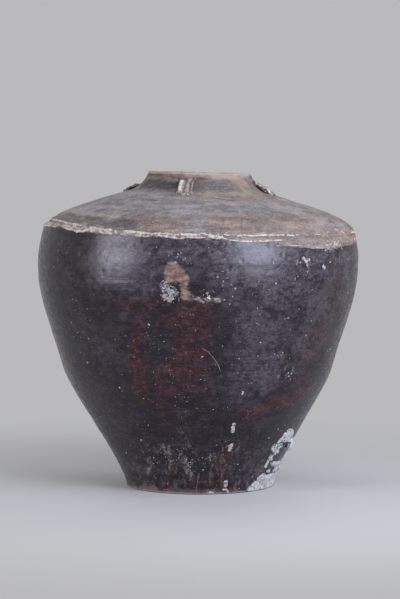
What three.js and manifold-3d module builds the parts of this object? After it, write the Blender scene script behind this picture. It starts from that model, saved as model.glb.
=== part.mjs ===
// A brown-glazed stoneware storage jar with four ribbed strap lugs round its neck and an open mouth.
// Millimetres, +Z up, origin at the centre of the underside of the foot.
//
// The jar is put together the way a potter builds one this large. A base slab carries two wall
// sections, a shoulder and a neck, each thrown by itself and luted to the one below on a bevelled
// joint. A strip of clay covers the joint at the shoulder, four lugs bridge from the neck down to the
// shoulder, and a crust of lime clings to one side of the foot.

import * as THREE from "three";
import { mergeVertices } from "three/addons/utils/BufferGeometryUtils.js";
import Module from "manifold-3d";

const wasm = await Module();
wasm.setup();

// Outline of the outside where its curve changes: radii, and heights over the foot or depths below the lip
const jarHeight = 510;
const footRadius = 121.5;
const waistRadius = 218.5;
const waistHeight = 188;
const waistFlareDeg = 16.5;
const bellyRadius = 261.5;
const bellyDepth = 138;
const shoulderEdgeRadius = 250.5;
const shoulderEdgeDepth = 87;
const shoulderEdgeSlopeDeg = 43;
const neckRootRadius = 111;
const neckRootDepth = 30.5;
const neckRootSlopeDeg = 17;
const lipRadius = 83.5;
const lipTaperDeg = 15;

const bellyHeight = jarHeight - bellyDepth;
const shoulderEdgeHeight = jarHeight - shoulderEdgeDepth;
const neckRootHeight = jarHeight - neckRootDepth;

// How far each end of a stretch of outline keeps its direction, as a share of the stretch's chord
const lowerWallHold = { low: 0.15, high: 0.15 };
const upperWallHold = { low: 0.6, high: 0.34 };
const shoulderTurnHold = { low: 0.11, high: 0.1 };
const shoulderSlopeHold = { low: 0.235, high: 0.6 };
const neckHold = { low: 0.1, high: 0.47 };

// Thickness of the clay
const floorThickness = 14;
const footWall = 14;
const bellyWall = 11;
const lipWall = 10;
const lipRounding = 2.5;
const footRounding = 1.5;

// Joints between sections: place of each on the outside, the bevel's rise, and the slip in it
const neckJointDepth = 29;
const jointBevel = 6;
const slipGap = 0.36;
const seatGap = 0.3;

// The shoulder joint and the strip over it were set out of level by the potter
const shoulderJointDepth = 92;
const shoulderJointTiltDeg = 2.5;
const shoulderJointTiltAzimuthDeg = -13;
const stripWidth = 9;
const stripHeight = 1.6;

// How the soft clay settled: the mouth leans one way, the belly moved the other
const leanAzimuthDeg = 12;
const mouthLeanDeg = 1.6;
const leanStartDepth = 145;
const bellyDrift = 3.9;

// Strap lugs: clay strap with ribs along it, both ends spread and pressed onto the wall
const lugWidth = 24;
const lugThickness = 3.6;
const lugEye = 6.6;
const lugRibs = 3;
const lugRibHeight = 1.2;
const lugRootSpread = 1.35;
const lugRootThickening = 2;
const rootDepth = 6;
const lugDepth = 14;
const lugRise = 20;
// Set by eye: no lug is quite as high, as long or as upright as the next
const lugs = [
  { name: "lug_front", azimuthDeg: -90, higher: 3, longer: 5.5, slant: 8 },
  { name: "lug_right", azimuthDeg: 0, higher: -1.5, longer: -2.5, slant: 1.5 },
  { name: "lug_back", azimuthDeg: 90, higher: 0.5, longer: 0.5, slant: -3 },
  { name: "lug_left", azimuthDeg: 180, higher: -1, longer: -0.5, slant: 2 },
];

// Lime crust from the ground, round one side of the foot: outline as azimuth and share of its height
const crustHeight = 94;
const crustOutline = [
  [-8, 1], [-15, 0.92], [-21, 0.78], [-20, 0.6], [-22, 0.43], [-29, 0.25], [-38, 0.08],
  [-20, 0.02], [4, 0.02], [20, 0.04], [16, 0.26], [8, 0.47], [3, 0.66], [4, 0.82], [-3, 0.97],
];
const crustMiddle = [-7, 0.36];
const crustThickness = 3;
const crustEdge = 1.2;

// A hooked lump of the same lime at the crust's upper edge, its tip clear of the wall
const knobAzimuthDeg = -4;
const knobTop = 77;
const knobDrop = 19;
const knobReach = 7.5;
const knobTipReach = 4.4;
const knobRootRadius = 4.4;
const knobTipRadius = 2.8;

// Facets: flat sides round the jar, and rows up each section
const sides = 60;
const lowerWallRows = 7;
const upperWallRows = 10;
const shoulderRows = 8;
const neckRows = 6;
const lugSteps = 14;
const crustPoints = 36;
const crustRings = 4;
const knobSteps = 6;
const knobSides = 8;
const profileSteps = 240;

const rad = THREE.MathUtils.degToRad;

// The outside of the jar as one smooth line of radius and height, from the foot to the lip
function outsideLine() {
  const foot = new THREE.Vector2(footRadius, 0);
  const waist = new THREE.Vector2(waistRadius, waistHeight);
  const belly = new THREE.Vector2(bellyRadius, bellyHeight);
  const edge = new THREE.Vector2(shoulderEdgeRadius, shoulderEdgeHeight);
  const root = new THREE.Vector2(neckRootRadius, neckRootHeight);
  const lip = new THREE.Vector2(lipRadius, jarHeight);
  const up = (deg) => new THREE.Vector2(Math.sin(rad(deg)), Math.cos(rad(deg)));
  const inwards = (deg) => new THREE.Vector2(-Math.cos(rad(deg)), Math.sin(rad(deg)));
  const line = new THREE.CurvePath();
  line.add(stretch(foot, up(0), waist, up(waistFlareDeg), lowerWallHold));
  line.add(stretch(waist, up(waistFlareDeg), belly, up(0), upperWallHold));
  line.add(stretch(belly, up(0), edge, inwards(shoulderEdgeSlopeDeg), shoulderTurnHold));
  line.add(stretch(edge, inwards(shoulderEdgeSlopeDeg), root, inwards(neckRootSlopeDeg), shoulderSlopeHold));
  line.add(stretch(root, inwards(neckRootSlopeDeg), lip, up(-lipTaperDeg), neckHold));
  return line;
}

// One stretch of outline that leaves `from` in one direction and arrives at `to` in another
function stretch(from, leaving, to, arriving, hold) {
  const chord = from.distanceTo(to);
  const first = from.clone().addScaledVector(leaving, hold.low * chord);
  const second = to.clone().addScaledVector(arriving, -hold.high * chord);
  return new THREE.CubicBezierCurve(from, first, second, to);
}

// Stations along the outside line, each with its distance, its outside and inside points and its normal
function wallStations() {
  const line = outsideLine();
  const total = line.getLength();
  const stations = [];
  for (let i = 0; i <= profileSteps; i++) {
    const u = i / profileSteps;
    const outside = line.getPointAt(u);
    const along = line.getTangentAt(u);
    const normal = new THREE.Vector2(along.y, -along.x);
    const inside = outside.clone().addScaledVector(normal, -wallThicknessAt(outside.y));
    stations.push({ distance: u * total, outside, inside, normal });
  }
  return stations;
}

function wallThicknessAt(height) {
  if (height < bellyHeight) return THREE.MathUtils.lerp(footWall, bellyWall, height / bellyHeight);
  const share = (height - bellyHeight) / (jarHeight - bellyHeight);
  return THREE.MathUtils.lerp(bellyWall, lipWall, share);
}

const stations = wallStations();
const wallLength = stations[stations.length - 1].distance;

// The station at a distance along the outside line, between the two nearest ones
function stationAt(distance) {
  const step = (THREE.MathUtils.clamp(distance, 0, wallLength) / wallLength) * profileSteps;
  const i = Math.min(Math.floor(step), profileSteps - 1);
  const share = step - i;
  const [a, b] = [stations[i], stations[i + 1]];
  return {
    outside: a.outside.clone().lerp(b.outside, share),
    inside: a.inside.clone().lerp(b.inside, share),
    normal: a.normal.clone().lerp(b.normal, share).normalize(),
  };
}

// Distance along the outside line at which the outside, or the inside, reaches a height
function distanceAtHeight(height, face = "outside") {
  const i = stations.findIndex((s) => s[face].y >= height);
  if (i < 1) return i === 0 ? 0 : wallLength;
  const [a, b] = [stations[i - 1], stations[i]];
  const share = (height - a[face].y) / (b[face].y - a[face].y);
  return THREE.MathUtils.lerp(a.distance, b.distance, share);
}

// Height of the shoulder joint at an angle round the jar
function shoulderJointAt(angle) {
  const radius = (shoulderEdgeRadius + bellyRadius) / 2;
  const fall = Math.tan(rad(shoulderJointTiltDeg)) * Math.cos(angle - rad(shoulderJointTiltAzimuthDeg));
  return jarHeight - shoulderJointDepth - radius * fall;
}

// Each joint as a function of the angle: how far up the outside line its outer and inner edges lie
const footJoint = () => ({
  outer: distanceAtHeight(floorThickness),
  inner: distanceAtHeight(floorThickness, "inside"),
});
const bevelled = (height) => {
  const outer = distanceAtHeight(height);
  return { outer, inner: outer + jointBevel };
};
const waistJoint = () => bevelled(waistHeight);
const shoulderJoint = (angle) => bevelled(shoulderJointAt(angle));
const neckJoint = () => bevelled(jarHeight - neckJointDepth);
const mouth = () => ({ outer: wallLength, inner: wallLength });

// The wall sections from the bottom up
const sections = [
  { name: "lower_wall", below: footJoint, above: waistJoint, rows: lowerWallRows },
  { name: "upper_wall", below: waistJoint, above: shoulderJoint, rows: upperWallRows },
  { name: "shoulder", below: shoulderJoint, above: neckJoint, rows: shoulderRows },
  { name: "neck", below: neckJoint, above: mouth, rows: neckRows, lip: true },
];

// Distances of a section's rows up one face; the slip's gap lies at its lower edge
function rowDistances(section, angle, edge) {
  const from = section.below(angle)[edge] + slipGap;
  const to = section.above(angle)[edge];
  return Array.from({ length: section.rows + 1 }, (_, i) => THREE.MathUtils.lerp(from, to, i / section.rows));
}

// A closed ring round the Z axis. loopAt gives its section at an angle, outside face first, going up
function ringGeometry(loopAt) {
  const loops = Array.from({ length: sides }, (_, i) => {
    const angle = (i / sides) * 2 * Math.PI;
    return loopAt(angle).map((p) => [p.x * Math.cos(angle), p.x * Math.sin(angle), p.y]);
  });
  const around = loops[0].length;
  const index = [];
  for (let i = 0; i < sides; i++) {
    for (let j = 0; j < around; j++) {
      const [a, b] = [i * around + j, i * around + ((j + 1) % around)];
      const next = ((i + 1) % sides) * around;
      const [c, d] = [next + j, next + ((j + 1) % around)];
      // The closing face is split the other way, to lie flat against the face it is luted to
      if (j === around - 1) index.push(a, c, b, c, d, b);
      else index.push(a, c, d, a, d, b);
    }
  }
  return indexed(loops.flat(), index);
}

function indexed(points, index) {
  const geometry = new THREE.BufferGeometry();
  geometry.setAttribute("position", new THREE.Float32BufferAttribute(points.flat(), 3));
  geometry.setIndex(index);
  return geometry;
}

// The lip's rounded top, from the outside of the wall over to the inside
function lipTop() {
  const end = stationAt(wallLength);
  const middle = (end.outside.x + end.inside.x) / 2;
  const reach = (end.outside.x - end.inside.x) / 2 - lipRounding;
  const low = jarHeight - lipRounding;
  const corner = (centre, angle) =>
    new THREE.Vector2(centre + lipRounding * Math.cos(rad(angle)), low + lipRounding * Math.sin(rad(angle)));
  const outer = [0, 45, 90].map((angle) => corner(middle + reach, angle));
  const inner = [90, 135, 180].map((angle) => corner(middle - reach, angle));
  return [...outer, ...inner];
}

function wallSection(section) {
  return ringGeometry((angle) => {
    let outer = rowDistances(section, angle, "outer").map((d) => stationAt(d).outside);
    let inner = rowDistances(section, angle, "inner").map((d) => stationAt(d).inside);
    let top = [];
    if (section.lip) {
      top = lipTop();
      outer = outer.filter((p) => p.y < top[0].y);
      inner = inner.filter((p) => p.y < top[0].y);
    }
    return [...outer, ...top, ...inner.reverse()];
  });
}

// The disc that the wall stands on, with its lower edge rounded and its outside in line with the wall
function baseSlab() {
  const start = stationAt(distanceAtHeight(footRounding)).outside;
  const centre = start.x - footRounding;
  const edge = [-90, -60, -30].map(
    (angle) =>
      new THREE.Vector2(
        centre + footRounding * Math.cos(rad(angle)),
        footRounding + footRounding * Math.sin(rad(angle)),
      ),
  );
  const top = stationAt(distanceAtHeight(floorThickness)).outside;
  const profile = [new THREE.Vector2(0, 0), ...edge, start, top, new THREE.Vector2(0, floorThickness)];
  return new THREE.LatheGeometry(profile, sides).rotateX(Math.PI / 2);
}

// The strip of clay over the shoulder joint, a low rounded band that follows the joint
function shoulderStrip() {
  const outerShape = [-0.5, -0.3, 0, 0.3, 0.5].map((across) => ({
    across: across * stripWidth,
    out: stripHeight * Math.cos(across * rad(150)),
  }));
  const innerShape = [0.5, 0, -0.5].map((across) => ({ across: across * stripWidth, out: 0 }));
  return ringGeometry((angle) => {
    const middle = shoulderJoint(angle).outer;
    return [...outerShape, ...innerShape].map(({ across, out }) => {
      const { outside, normal } = stationAt(middle + across);
      return outside.clone().addScaledVector(normal, seatGap + out);
    });
  });
}

// The jar's whole outside, filled in and grown by the seat, to shape what is pressed onto the wall
function seatCore() {
  const hub = 20;
  const below = -5;
  const above = jarHeight + 5;
  return ringGeometry((angle) => {
    const rows = sections.flatMap((section) => rowDistances(section, angle, "outer")).map(stationAt);
    const grown = rows.map(({ outside, normal }) => outside.clone().addScaledVector(normal, seatGap));
    const foot = new THREE.Vector2(grown[0].x, below);
    const lip = new THREE.Vector2(grown[grown.length - 1].x, above);
    return [foot, ...grown, lip, new THREE.Vector2(hub, above), new THREE.Vector2(hub, below)];
  });
}

// Between three.js geometry and the solids that booleans work on
function solidOf(geometry) {
  const plain = geometry.clone();
  plain.deleteAttribute("normal");
  plain.deleteAttribute("uv");
  const merged = mergeVertices(plain, 1e-4);
  return new wasm.Manifold(
    new wasm.Mesh({
      numProp: 3,
      vertProperties: new Float32Array(merged.attributes.position.array),
      triVerts: new Uint32Array(merged.index.array),
    }),
  );
}

function geometryOf(solid) {
  const mesh = solid.getMesh();
  const geometry = new THREE.BufferGeometry();
  geometry.setAttribute("position", new THREE.BufferAttribute(mesh.vertProperties, 3));
  geometry.setIndex(new THREE.BufferAttribute(mesh.triVerts, 1));
  return geometry;
}

const core = solidOf(seatCore());
const seated = (geometry) => geometryOf(solidOf(geometry).subtract(core));

// A closed body through rings of points that all have the same count
function loft(rings) {
  const count = rings[0].length;
  const index = [];
  for (let i = 0; i + 1 < rings.length; i++) {
    for (let j = 0; j < count; j++) {
      const [a, b] = [i * count + j, i * count + ((j + 1) % count)];
      index.push(a, b, b + count, a, b + count, a + count);
    }
  }
  const last = (rings.length - 1) * count;
  for (let j = 1; j + 1 < count; j++) {
    index.push(0, j + 1, j);
    index.push(last, last + j, last + j + 1);
  }
  return indexed(rings.flat(), index);
}

// A lug's cross-section as places across it and heights over its middle, ribs on the outer face
function lugSection(thickness, ribs) {
  const perRib = 4;
  const steps = lugRibs * perRib;
  const outer = Array.from({ length: steps + 1 }, (_, i) => ({
    across: 0.5 - i / steps,
    over: thickness / 2 + (ribs * (1 - Math.cos((i / perRib) * 2 * Math.PI))) / 2,
  }));
  const inner = [-0.46, 0, 0.46].map((across) => ({ across, over: -thickness / 2 }));
  return [...outer, ...inner];
}

// A point at a distance from the axis and to the side of it, turned round to an azimuth
function turned(radius, side, height, azimuthDeg) {
  const azimuth = rad(azimuthDeg);
  return [
    radius * Math.cos(azimuth) - side * Math.sin(azimuth),
    radius * Math.sin(azimuth) + side * Math.cos(azimuth),
    height,
  ];
}

// A ribbed strap from the neck to the shoulder, standing off the wall by the eye
function lugGeometry(lug) {
  const top = jarHeight - lugDepth + lug.higher;
  const bottom = top - lugRise - lug.longer;
  const [from, to] = [distanceAtHeight(top), distanceAtHeight(bottom)];
  const [upper, middle, lower] = [from, (from + to) / 2, to].map(stationAt);
  const crown = middle.outside.clone().addScaledVector(middle.normal, lugEye + lugThickness / 2);
  const start = upper.outside.clone().addScaledVector(upper.normal, -rootDepth);
  const end = lower.outside.clone().addScaledVector(lower.normal, -rootDepth);
  // Both handles are moved alike, so that the curve's middle lies at the crown
  const rise = crown.clone().sub(start.clone().lerp(end, 0.5)).divideScalar(0.75);
  const path = new THREE.CubicBezierCurve(start, start.clone().add(rise), end.clone().add(rise), end);
  const rings = Array.from({ length: lugSteps + 1 }, (_, i) => {
    const u = i / lugSteps;
    const place = path.getPointAt(u);
    const along = path.getTangentAt(u);
    const over = new THREE.Vector2(-along.y, along.x);
    const root = Math.abs(2 * u - 1) ** 3;
    const width = lugWidth * THREE.MathUtils.lerp(1, lugRootSpread, root);
    const thickness = lugThickness * THREE.MathUtils.lerp(1, lugRootThickening, root);
    return lugSection(thickness, lugRibHeight * (1 - root)).map((p) => {
      const { x: radius, y: height } = place.clone().addScaledVector(over, p.over);
      return turned(radius, p.across * width + lug.slant * (u - 0.5), height, lug.azimuthDeg);
    });
  });
  return seated(loft(rings));
}

// The crust as a pad that follows the wall, thickest in the middle, grown all over by a clearance
function crustPad(clearance) {
  const corners = crustOutline.map(([azimuth, share]) => new THREE.Vector3(azimuth, share * crustHeight, 0));
  const outline = new THREE.CatmullRomCurve3(corners, true).getSpacedPoints(crustPoints).slice(0, -1);
  const middle = new THREE.Vector3(crustMiddle[0], crustMiddle[1] * crustHeight, 0);
  const grown = 1 + clearance / Math.min(middle.y, crustHeight - middle.y);
  const onWall = (azimuth, height, offset) => {
    const { outside, normal } = stationAt(distanceAtHeight(height));
    const place = outside.clone().addScaledVector(normal, offset);
    return turned(place.x, 0, place.y, azimuth);
  };
  const ring = (share, offset) =>
    outline.map((p) => {
      const place = middle.clone().lerp(p, share * grown);
      return onWall(place.x, place.y, offset);
    });
  const shares = Array.from({ length: crustRings }, (_, i) => (i + 1) / crustRings);
  const rise = (share) => THREE.MathUtils.lerp(crustThickness, crustEdge, share ** 2) + clearance;
  const under = shares.map((share) => ring(share, -rootDepth));
  const over = shares.map((share) => ring(share, rise(share))).reverse();
  return loft([...under, ...over]);
}

// The lump as a tapering hook that leaves the wall, bends down and ends clear of it
function knobHook() {
  const place = (height, offset) => {
    const { outside, normal } = stationAt(distanceAtHeight(height));
    return outside.clone().addScaledVector(normal, offset);
  };
  const corners = [
    place(knobTop, -rootDepth),
    place(knobTop, knobReach),
    place(knobTop - knobDrop / 2, knobReach),
    place(knobTop - knobDrop, knobTipReach),
  ];
  const path = new THREE.CubicBezierCurve(...corners);
  const rings = Array.from({ length: knobSteps + 1 }, (_, i) => {
    const u = i / knobSteps;
    const centre = path.getPointAt(u);
    const along = path.getTangentAt(u);
    const over = new THREE.Vector2(-along.y, along.x);
    const radius = THREE.MathUtils.lerp(knobRootRadius, knobTipRadius, u) * Math.sqrt(1 - 0.6 * u ** 6);
    return Array.from({ length: knobSides }, (_, j) => {
      const turn = (-j / knobSides) * 2 * Math.PI;
      const { x, y } = centre.clone().addScaledVector(over, radius * Math.cos(turn));
      return turned(x, radius * Math.sin(turn), y, knobAzimuthDeg);
    });
  });
  return loft(rings);
}

// The fired jar is not true: each point moves as the soft clay did
function settled(geometry) {
  const lean = Math.tan(rad(mouthLeanDeg));
  const [towardsX, towardsY] = [Math.cos(rad(leanAzimuthDeg)), Math.sin(rad(leanAzimuthDeg))];
  const position = geometry.getAttribute("position");
  for (let i = 0; i < position.count; i++) {
    const [x, y, z] = [position.getX(i), position.getY(i), position.getZ(i)];
    const drift = -bellyDrift * Math.sin((Math.PI * z) / jarHeight);
    const fall = lean * THREE.MathUtils.smoothstep(z, jarHeight - leanStartDepth, jarHeight);
    const along = x * towardsX + y * towardsY;
    position.setXYZ(i, x + drift * towardsX, y + drift * towardsY, z - fall * along);
  }
  return geometry;
}

const glaze = new THREE.MeshStandardMaterial({ color: 0x3a2e33, roughness: 0.42, metalness: 0 });
const wornShoulder = new THREE.MeshStandardMaterial({ color: 0x83797a, roughness: 0.6, metalness: 0 });
const bareClay = new THREE.MeshStandardMaterial({ color: 0x7d675f, roughness: 0.8, metalness: 0 });
const lime = new THREE.MeshStandardMaterial({ color: 0xb4b0aa, roughness: 0.9, metalness: 0 });

const jar = new THREE.Group();
function add(name, geometry, material) {
  const mesh = new THREE.Mesh(settled(geometry), material);
  mesh.name = name;
  jar.add(mesh);
}

const sectionMaterials = { lower_wall: glaze, upper_wall: glaze, shoulder: wornShoulder, neck: bareClay };
add("base_slab", baseSlab(), bareClay);
for (const section of sections) add(section.name, wallSection(section), sectionMaterials[section.name]);
add("shoulder_strip", shoulderStrip(), lime);
for (const lug of lugs) add(lug.name, lugGeometry(lug), bareClay);
add("lime_crust", seated(crustPad(0)), lime);
add("lime_knob", geometryOf(solidOf(knobHook()).subtract(core).subtract(solidOf(crustPad(seatGap)))), lime);

export default jar;
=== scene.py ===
# A brown-glazed stoneware storage jar: worn shoulder, ribbed lugs, rough seam, lime and iron marks.
# Metres in Blender; the jar's own sizes are in millimetres, as in the CAD model.

import math

import bmesh
import bpy
import numpy as np
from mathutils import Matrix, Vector


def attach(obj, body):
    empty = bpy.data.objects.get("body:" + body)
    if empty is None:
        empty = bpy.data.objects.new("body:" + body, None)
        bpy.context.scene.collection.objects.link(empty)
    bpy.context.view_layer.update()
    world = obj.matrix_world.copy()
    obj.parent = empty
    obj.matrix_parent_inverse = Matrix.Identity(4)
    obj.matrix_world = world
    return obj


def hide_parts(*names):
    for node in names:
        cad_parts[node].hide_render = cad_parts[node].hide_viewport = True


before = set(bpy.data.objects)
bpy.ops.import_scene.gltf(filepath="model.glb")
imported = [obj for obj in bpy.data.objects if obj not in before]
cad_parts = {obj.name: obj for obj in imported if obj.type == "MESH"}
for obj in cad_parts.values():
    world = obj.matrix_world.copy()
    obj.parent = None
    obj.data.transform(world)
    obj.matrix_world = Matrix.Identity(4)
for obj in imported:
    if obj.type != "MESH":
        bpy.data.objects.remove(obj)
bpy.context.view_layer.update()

MM = 0.001

# Outline of the outside: radius, height, and the direction there in degrees from upright, outwards positive
OUTLINE = (
    (121.5, 0.0, 0.0),
    (218.5, 188.0, 16.5),
    (261.5, 372.0, 0.0),
    (250.5, 423.0, -47.0),
    (111.0, 479.5, -73.0),
    (83.5, 510.0, -15.0),
)
# How far each end of a stretch keeps its direction, as a share of the stretch's chord
HOLDS = ((0.15, 0.15), (0.6, 0.34), (0.11, 0.1), (0.235, 0.6), (0.1, 0.47))
STRETCH_STEPS = 1500
JAR_HEIGHT = 510.0
WAIST_HEIGHT = 188.0
BELLY_HEIGHT = 372.0
BELLY_RADIUS = 261.5
EDGE_RADIUS = 250.5

FLOOR_THICKNESS = 14.0
FOOT_WALL = 14.0
BELLY_WALL = 11.0
LIP_WALL = 10.0
LIP_ROUNDING = 3.4
LIP_TURN = JAR_HEIGHT - LIP_ROUNDING
FOOT_ROUNDING = 1.5
NECK_JOINT = 481.0
JOINT_BEVEL = 6.0
SIDES = 720
TURNS = np.arange(SIDES) / SIDES * 2 * np.pi
# Edges sharper than these angles, in degrees, stay crisp
CRISP = 50
LUG_CRISP = 70

# Unevenness of the wall: size of its lumps in millimetres, seed, octaves, and depth in millimetres
OUTER_WEAR = (((300, 300, 6), 3, 1, 0.32), ((500, 500, 17), 4, 1, 0.5), ((90, 90, 60), 5, 2, 1.1),
              ((7, 7, 5), 6, 2, 0.3))
INNER_WEAR = (((260, 260, 13), 8, 1, 1.6), ((60, 60, 30), 9, 2, 1.0))
PIT_SIZE = 6
PIT_DEPTH = 0.45

# Heights between which the clay of the lip gets bare, the neck warmer in colour, and the foot glazed
LIP_BARE = (496, 506)
NECK_WARM = (474, 488)
FOOT_BARE = (-10, 20)

SEAM_HEIGHT = 418.0
SEAM_TILT = math.radians(2.5)
SEAM_TILT_AZIMUTH = math.radians(-13.0)

LEAN_AZIMUTH = math.radians(12.0)
MOUTH_LEAN = math.tan(math.radians(1.6))
LEAN_START = 365.0
BELLY_DRIFT = 3.9

# The camera of the photograph
PHOTO_SIZE = (400, 599)
PHOTO_LENS = 2130.0
CAMERA_AZIMUTH = math.radians(-78.0)
CAMERA_DISTANCE = 3.465
CAMERA_HEIGHT = 0.521
AIM_HEIGHT = 0.302
SENSOR_WIDTH = 36

LUG_WIDTH = 24.0
LUG_THICKNESS = 3.4
LUG_DEPTH = 14.0
LUG_RISE = 20.0
LUG_ROOT_SPREAD = 1.35
LUG_ROOT_THICKENING = 2.0
LUG_RINGS = 73
LUG_SIDES = 64
ROOT_DEPTH = 6.0
# Ribs of a lug: place across it as a share of its width, and half width as such a share
RIBS = ((-0.29, 0.13), (0.2, 0.08), (0.44, 0.055))
# Name, azimuth, higher, longer, slant, eye, the rises of its ribs, how much of the first is broken off, and
# how rough it is
LUGS = (
    ("lug_front", -90.0, 3.0, 4.5, 4.0, 3.2, (3.2, 1.5, 1.0), 0.26, 3.4),
    ("lug_right", 0.0, -1.5, -1.5, 1.5, 1.4, (1.4, 1.2, 1.2), 0.1, 5.0),
    ("lug_back", 90.0, 0.5, 0.5, -3.0, 3.2, (1.6, 1.9, 1.2), 0.02, 3.2),
    ("lug_left", 180.0, -8.5, -8.0, 2.0, 0.6, (0.7, 0.8, 0.6), 0.15, 3.8),
)

# Lines of the seam that the photograph shows: share of the full rise, half width, and pixels, x and y
SEAM_LINES = (
    (0.7, 2.4, 47.5, 222, 53, 218.6), (0.75, 2, 53, 219.5, 59, 220.4, 66, 222.3, 73, 223.6, 79, 225),
    (0.7, 1.7, 79, 225.2, 86, 226.4, 92, 226.6), (0.85, 2.3, 93, 227.2, 97, 228.4, 104, 229.6, 110, 230),
    (0.65, 1.8, 110, 230.4, 117, 231.3, 126, 231.2),
    (0.9, 2, 126, 231.3, 136, 231.9, 145, 232.9, 152, 233.5, 160, 233.2),
    (0.75, 1.6, 160, 233.2, 167, 233.2, 172, 234.2), (0.8, 1.5, 173, 234.6, 178, 234.4),
    (1, 2.2, 182, 234, 188, 234.4, 194, 234.3), (0.75, 1.4, 194, 234.4, 198, 234, 202, 233.3, 207, 234.3),
    (0.8, 3, 209.5, 235, 213.5, 236.4), (0.5, 1.1, 215, 235, 220, 234.6),
    (0.7, 1.4, 222.6, 236, 223.6, 238.6), (0.8, 1.6, 224, 234.8, 228, 235.3, 231, 234.4, 235, 234.8),
    (0.95, 1.9, 238, 235.5, 245, 235.3, 252, 235.7, 262, 235.1, 272, 235, 284, 235),
    (0.75, 1.6, 287, 235.1, 294, 235.1), (0.55, 1.5, 296, 235, 299, 234.6),
    (0.5, 1.3, 304, 234.5, 313, 234.8, 320, 234.4), (0.4, 1.2, 323, 234.6),
    (0.65, 1.7, 40, 224.6, 47, 225.6, 56, 226.2), (0.65, 1.7, 62, 226.6, 66, 228.3, 72, 229.6, 76, 231.4),
    (0.85, 2, 76, 231.4, 79, 230.8, 83, 231.4), (0.7, 1.8, 83, 231, 88, 229, 92, 226.8),
    (0.55, 1.6, 82, 227.6, 86, 229.6), (0.6, 1.9, 89, 229.8, 95, 230.6, 100, 232),
    (0.8, 2, 100, 232, 104, 233.3, 109, 233.4, 112, 232.6), (0.5, 1.7, 112, 232.8, 119, 234, 124, 234.6),
    (0.55, 1.8, 126, 233.2, 131, 234.4, 137, 235.8, 145, 236.2, 152, 235.4, 160, 235.2),
    (0.55, 1.5, 160, 235.2, 166, 236.3, 172, 237.7),
    (0.55, 1.6, 172, 237.7, 180, 238, 189, 237, 197, 237.4, 208, 237.3),
    (0.5, 1.3, 214.5, 237.6, 219, 237.4, 222, 236.6), (0.8, 1.6, 223.6, 238, 229, 239.6, 236, 240.7),
    (0.85, 1.7, 236, 240.8, 241, 241.1, 250, 241, 253, 241.4, 262, 240.9, 272, 240.1, 282, 240),
    (0.25, 1.2, 284, 241, 299, 240.8),
    (0.55, 1.2, 276.5, 245.8, 287, 245.3, 300, 246, 306, 246.8, 311, 247.8),
    (0.5, 1.1, 311, 247.8, 320, 247.4), (0.5, 1.1, 300, 244.8, 305, 243.4, 311, 242.8, 321.5, 240.5),
    (0.55, 2.2, 327, 232.2, 331, 230.6, 335.4, 229.2, 339, 229.9, 344, 233.2),
    (0.42, 2.6, 335.6, 232.6, 339.4, 236, 342, 239.6), (0.5, 2.4, 325, 244.6, 328.4, 245.2, 331.6, 243.8),
    (0.55, 2.4, 334.6, 244.8, 331, 250), (0.42, 3.2, 334, 238.6, 336, 245, 341, 245.4, 342.6, 249),
    (0.45, 2, 346, 241, 351, 242), (0.5, 5, 41, 221, 50, 222.8, 66, 225.5, 84, 228.6),
    (0.55, 4.6, 66, 226, 84, 228.4, 100, 230.6, 118, 232.4), (0.42, 3.8, 118, 232.8, 150, 234.8),
    (0.36, 3.2, 150, 234.8, 208, 236), (0.5, 3.6, 209, 235.6, 222, 238), (0.22, 2.6, 97, 236.8, 124, 236.8),
)
# Its lines on the side the photograph hides: the same, at degrees and millimetres up from the joint
SEAM_LINES_BEHIND = (
    (0.9, 2.1, -4, 8, 20, 5, 60, 4, 100, 3), (0.85, 2.3, 100, 3, 140, 5, 178, 7, 198, 8),
    (0.7, 1.9, -3, -4, 30, -4, 80, -3.5), (0.75, 2, 84, -3, 130, -5, 170, -6, 197, -6),
    (0.3, 5, 2, 1, 70, 0, 130, 0, 196, 1),
)
SEAM_RISE = 2.5
SEAM_COLUMNS = 1440
SEAM_REACH = (-19.0, 21.0)
SEAM_CELL = 0.85
# Where the worn shoulder is warmest in colour, and where no painted shadow lies below the joint
WARM_AZIMUTH = math.radians(-32)
UNSHADED_AZIMUTH = math.radians(-40)
# How far below the joint the worn surface reaches: azimuth in degrees, and millimetres
WORN_EDGE = ((-180, 0), (-62, 0), (-52, 5), (-44, 13), (-30, 17), (-14, 14), (10, 7), (60, 0))

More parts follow.
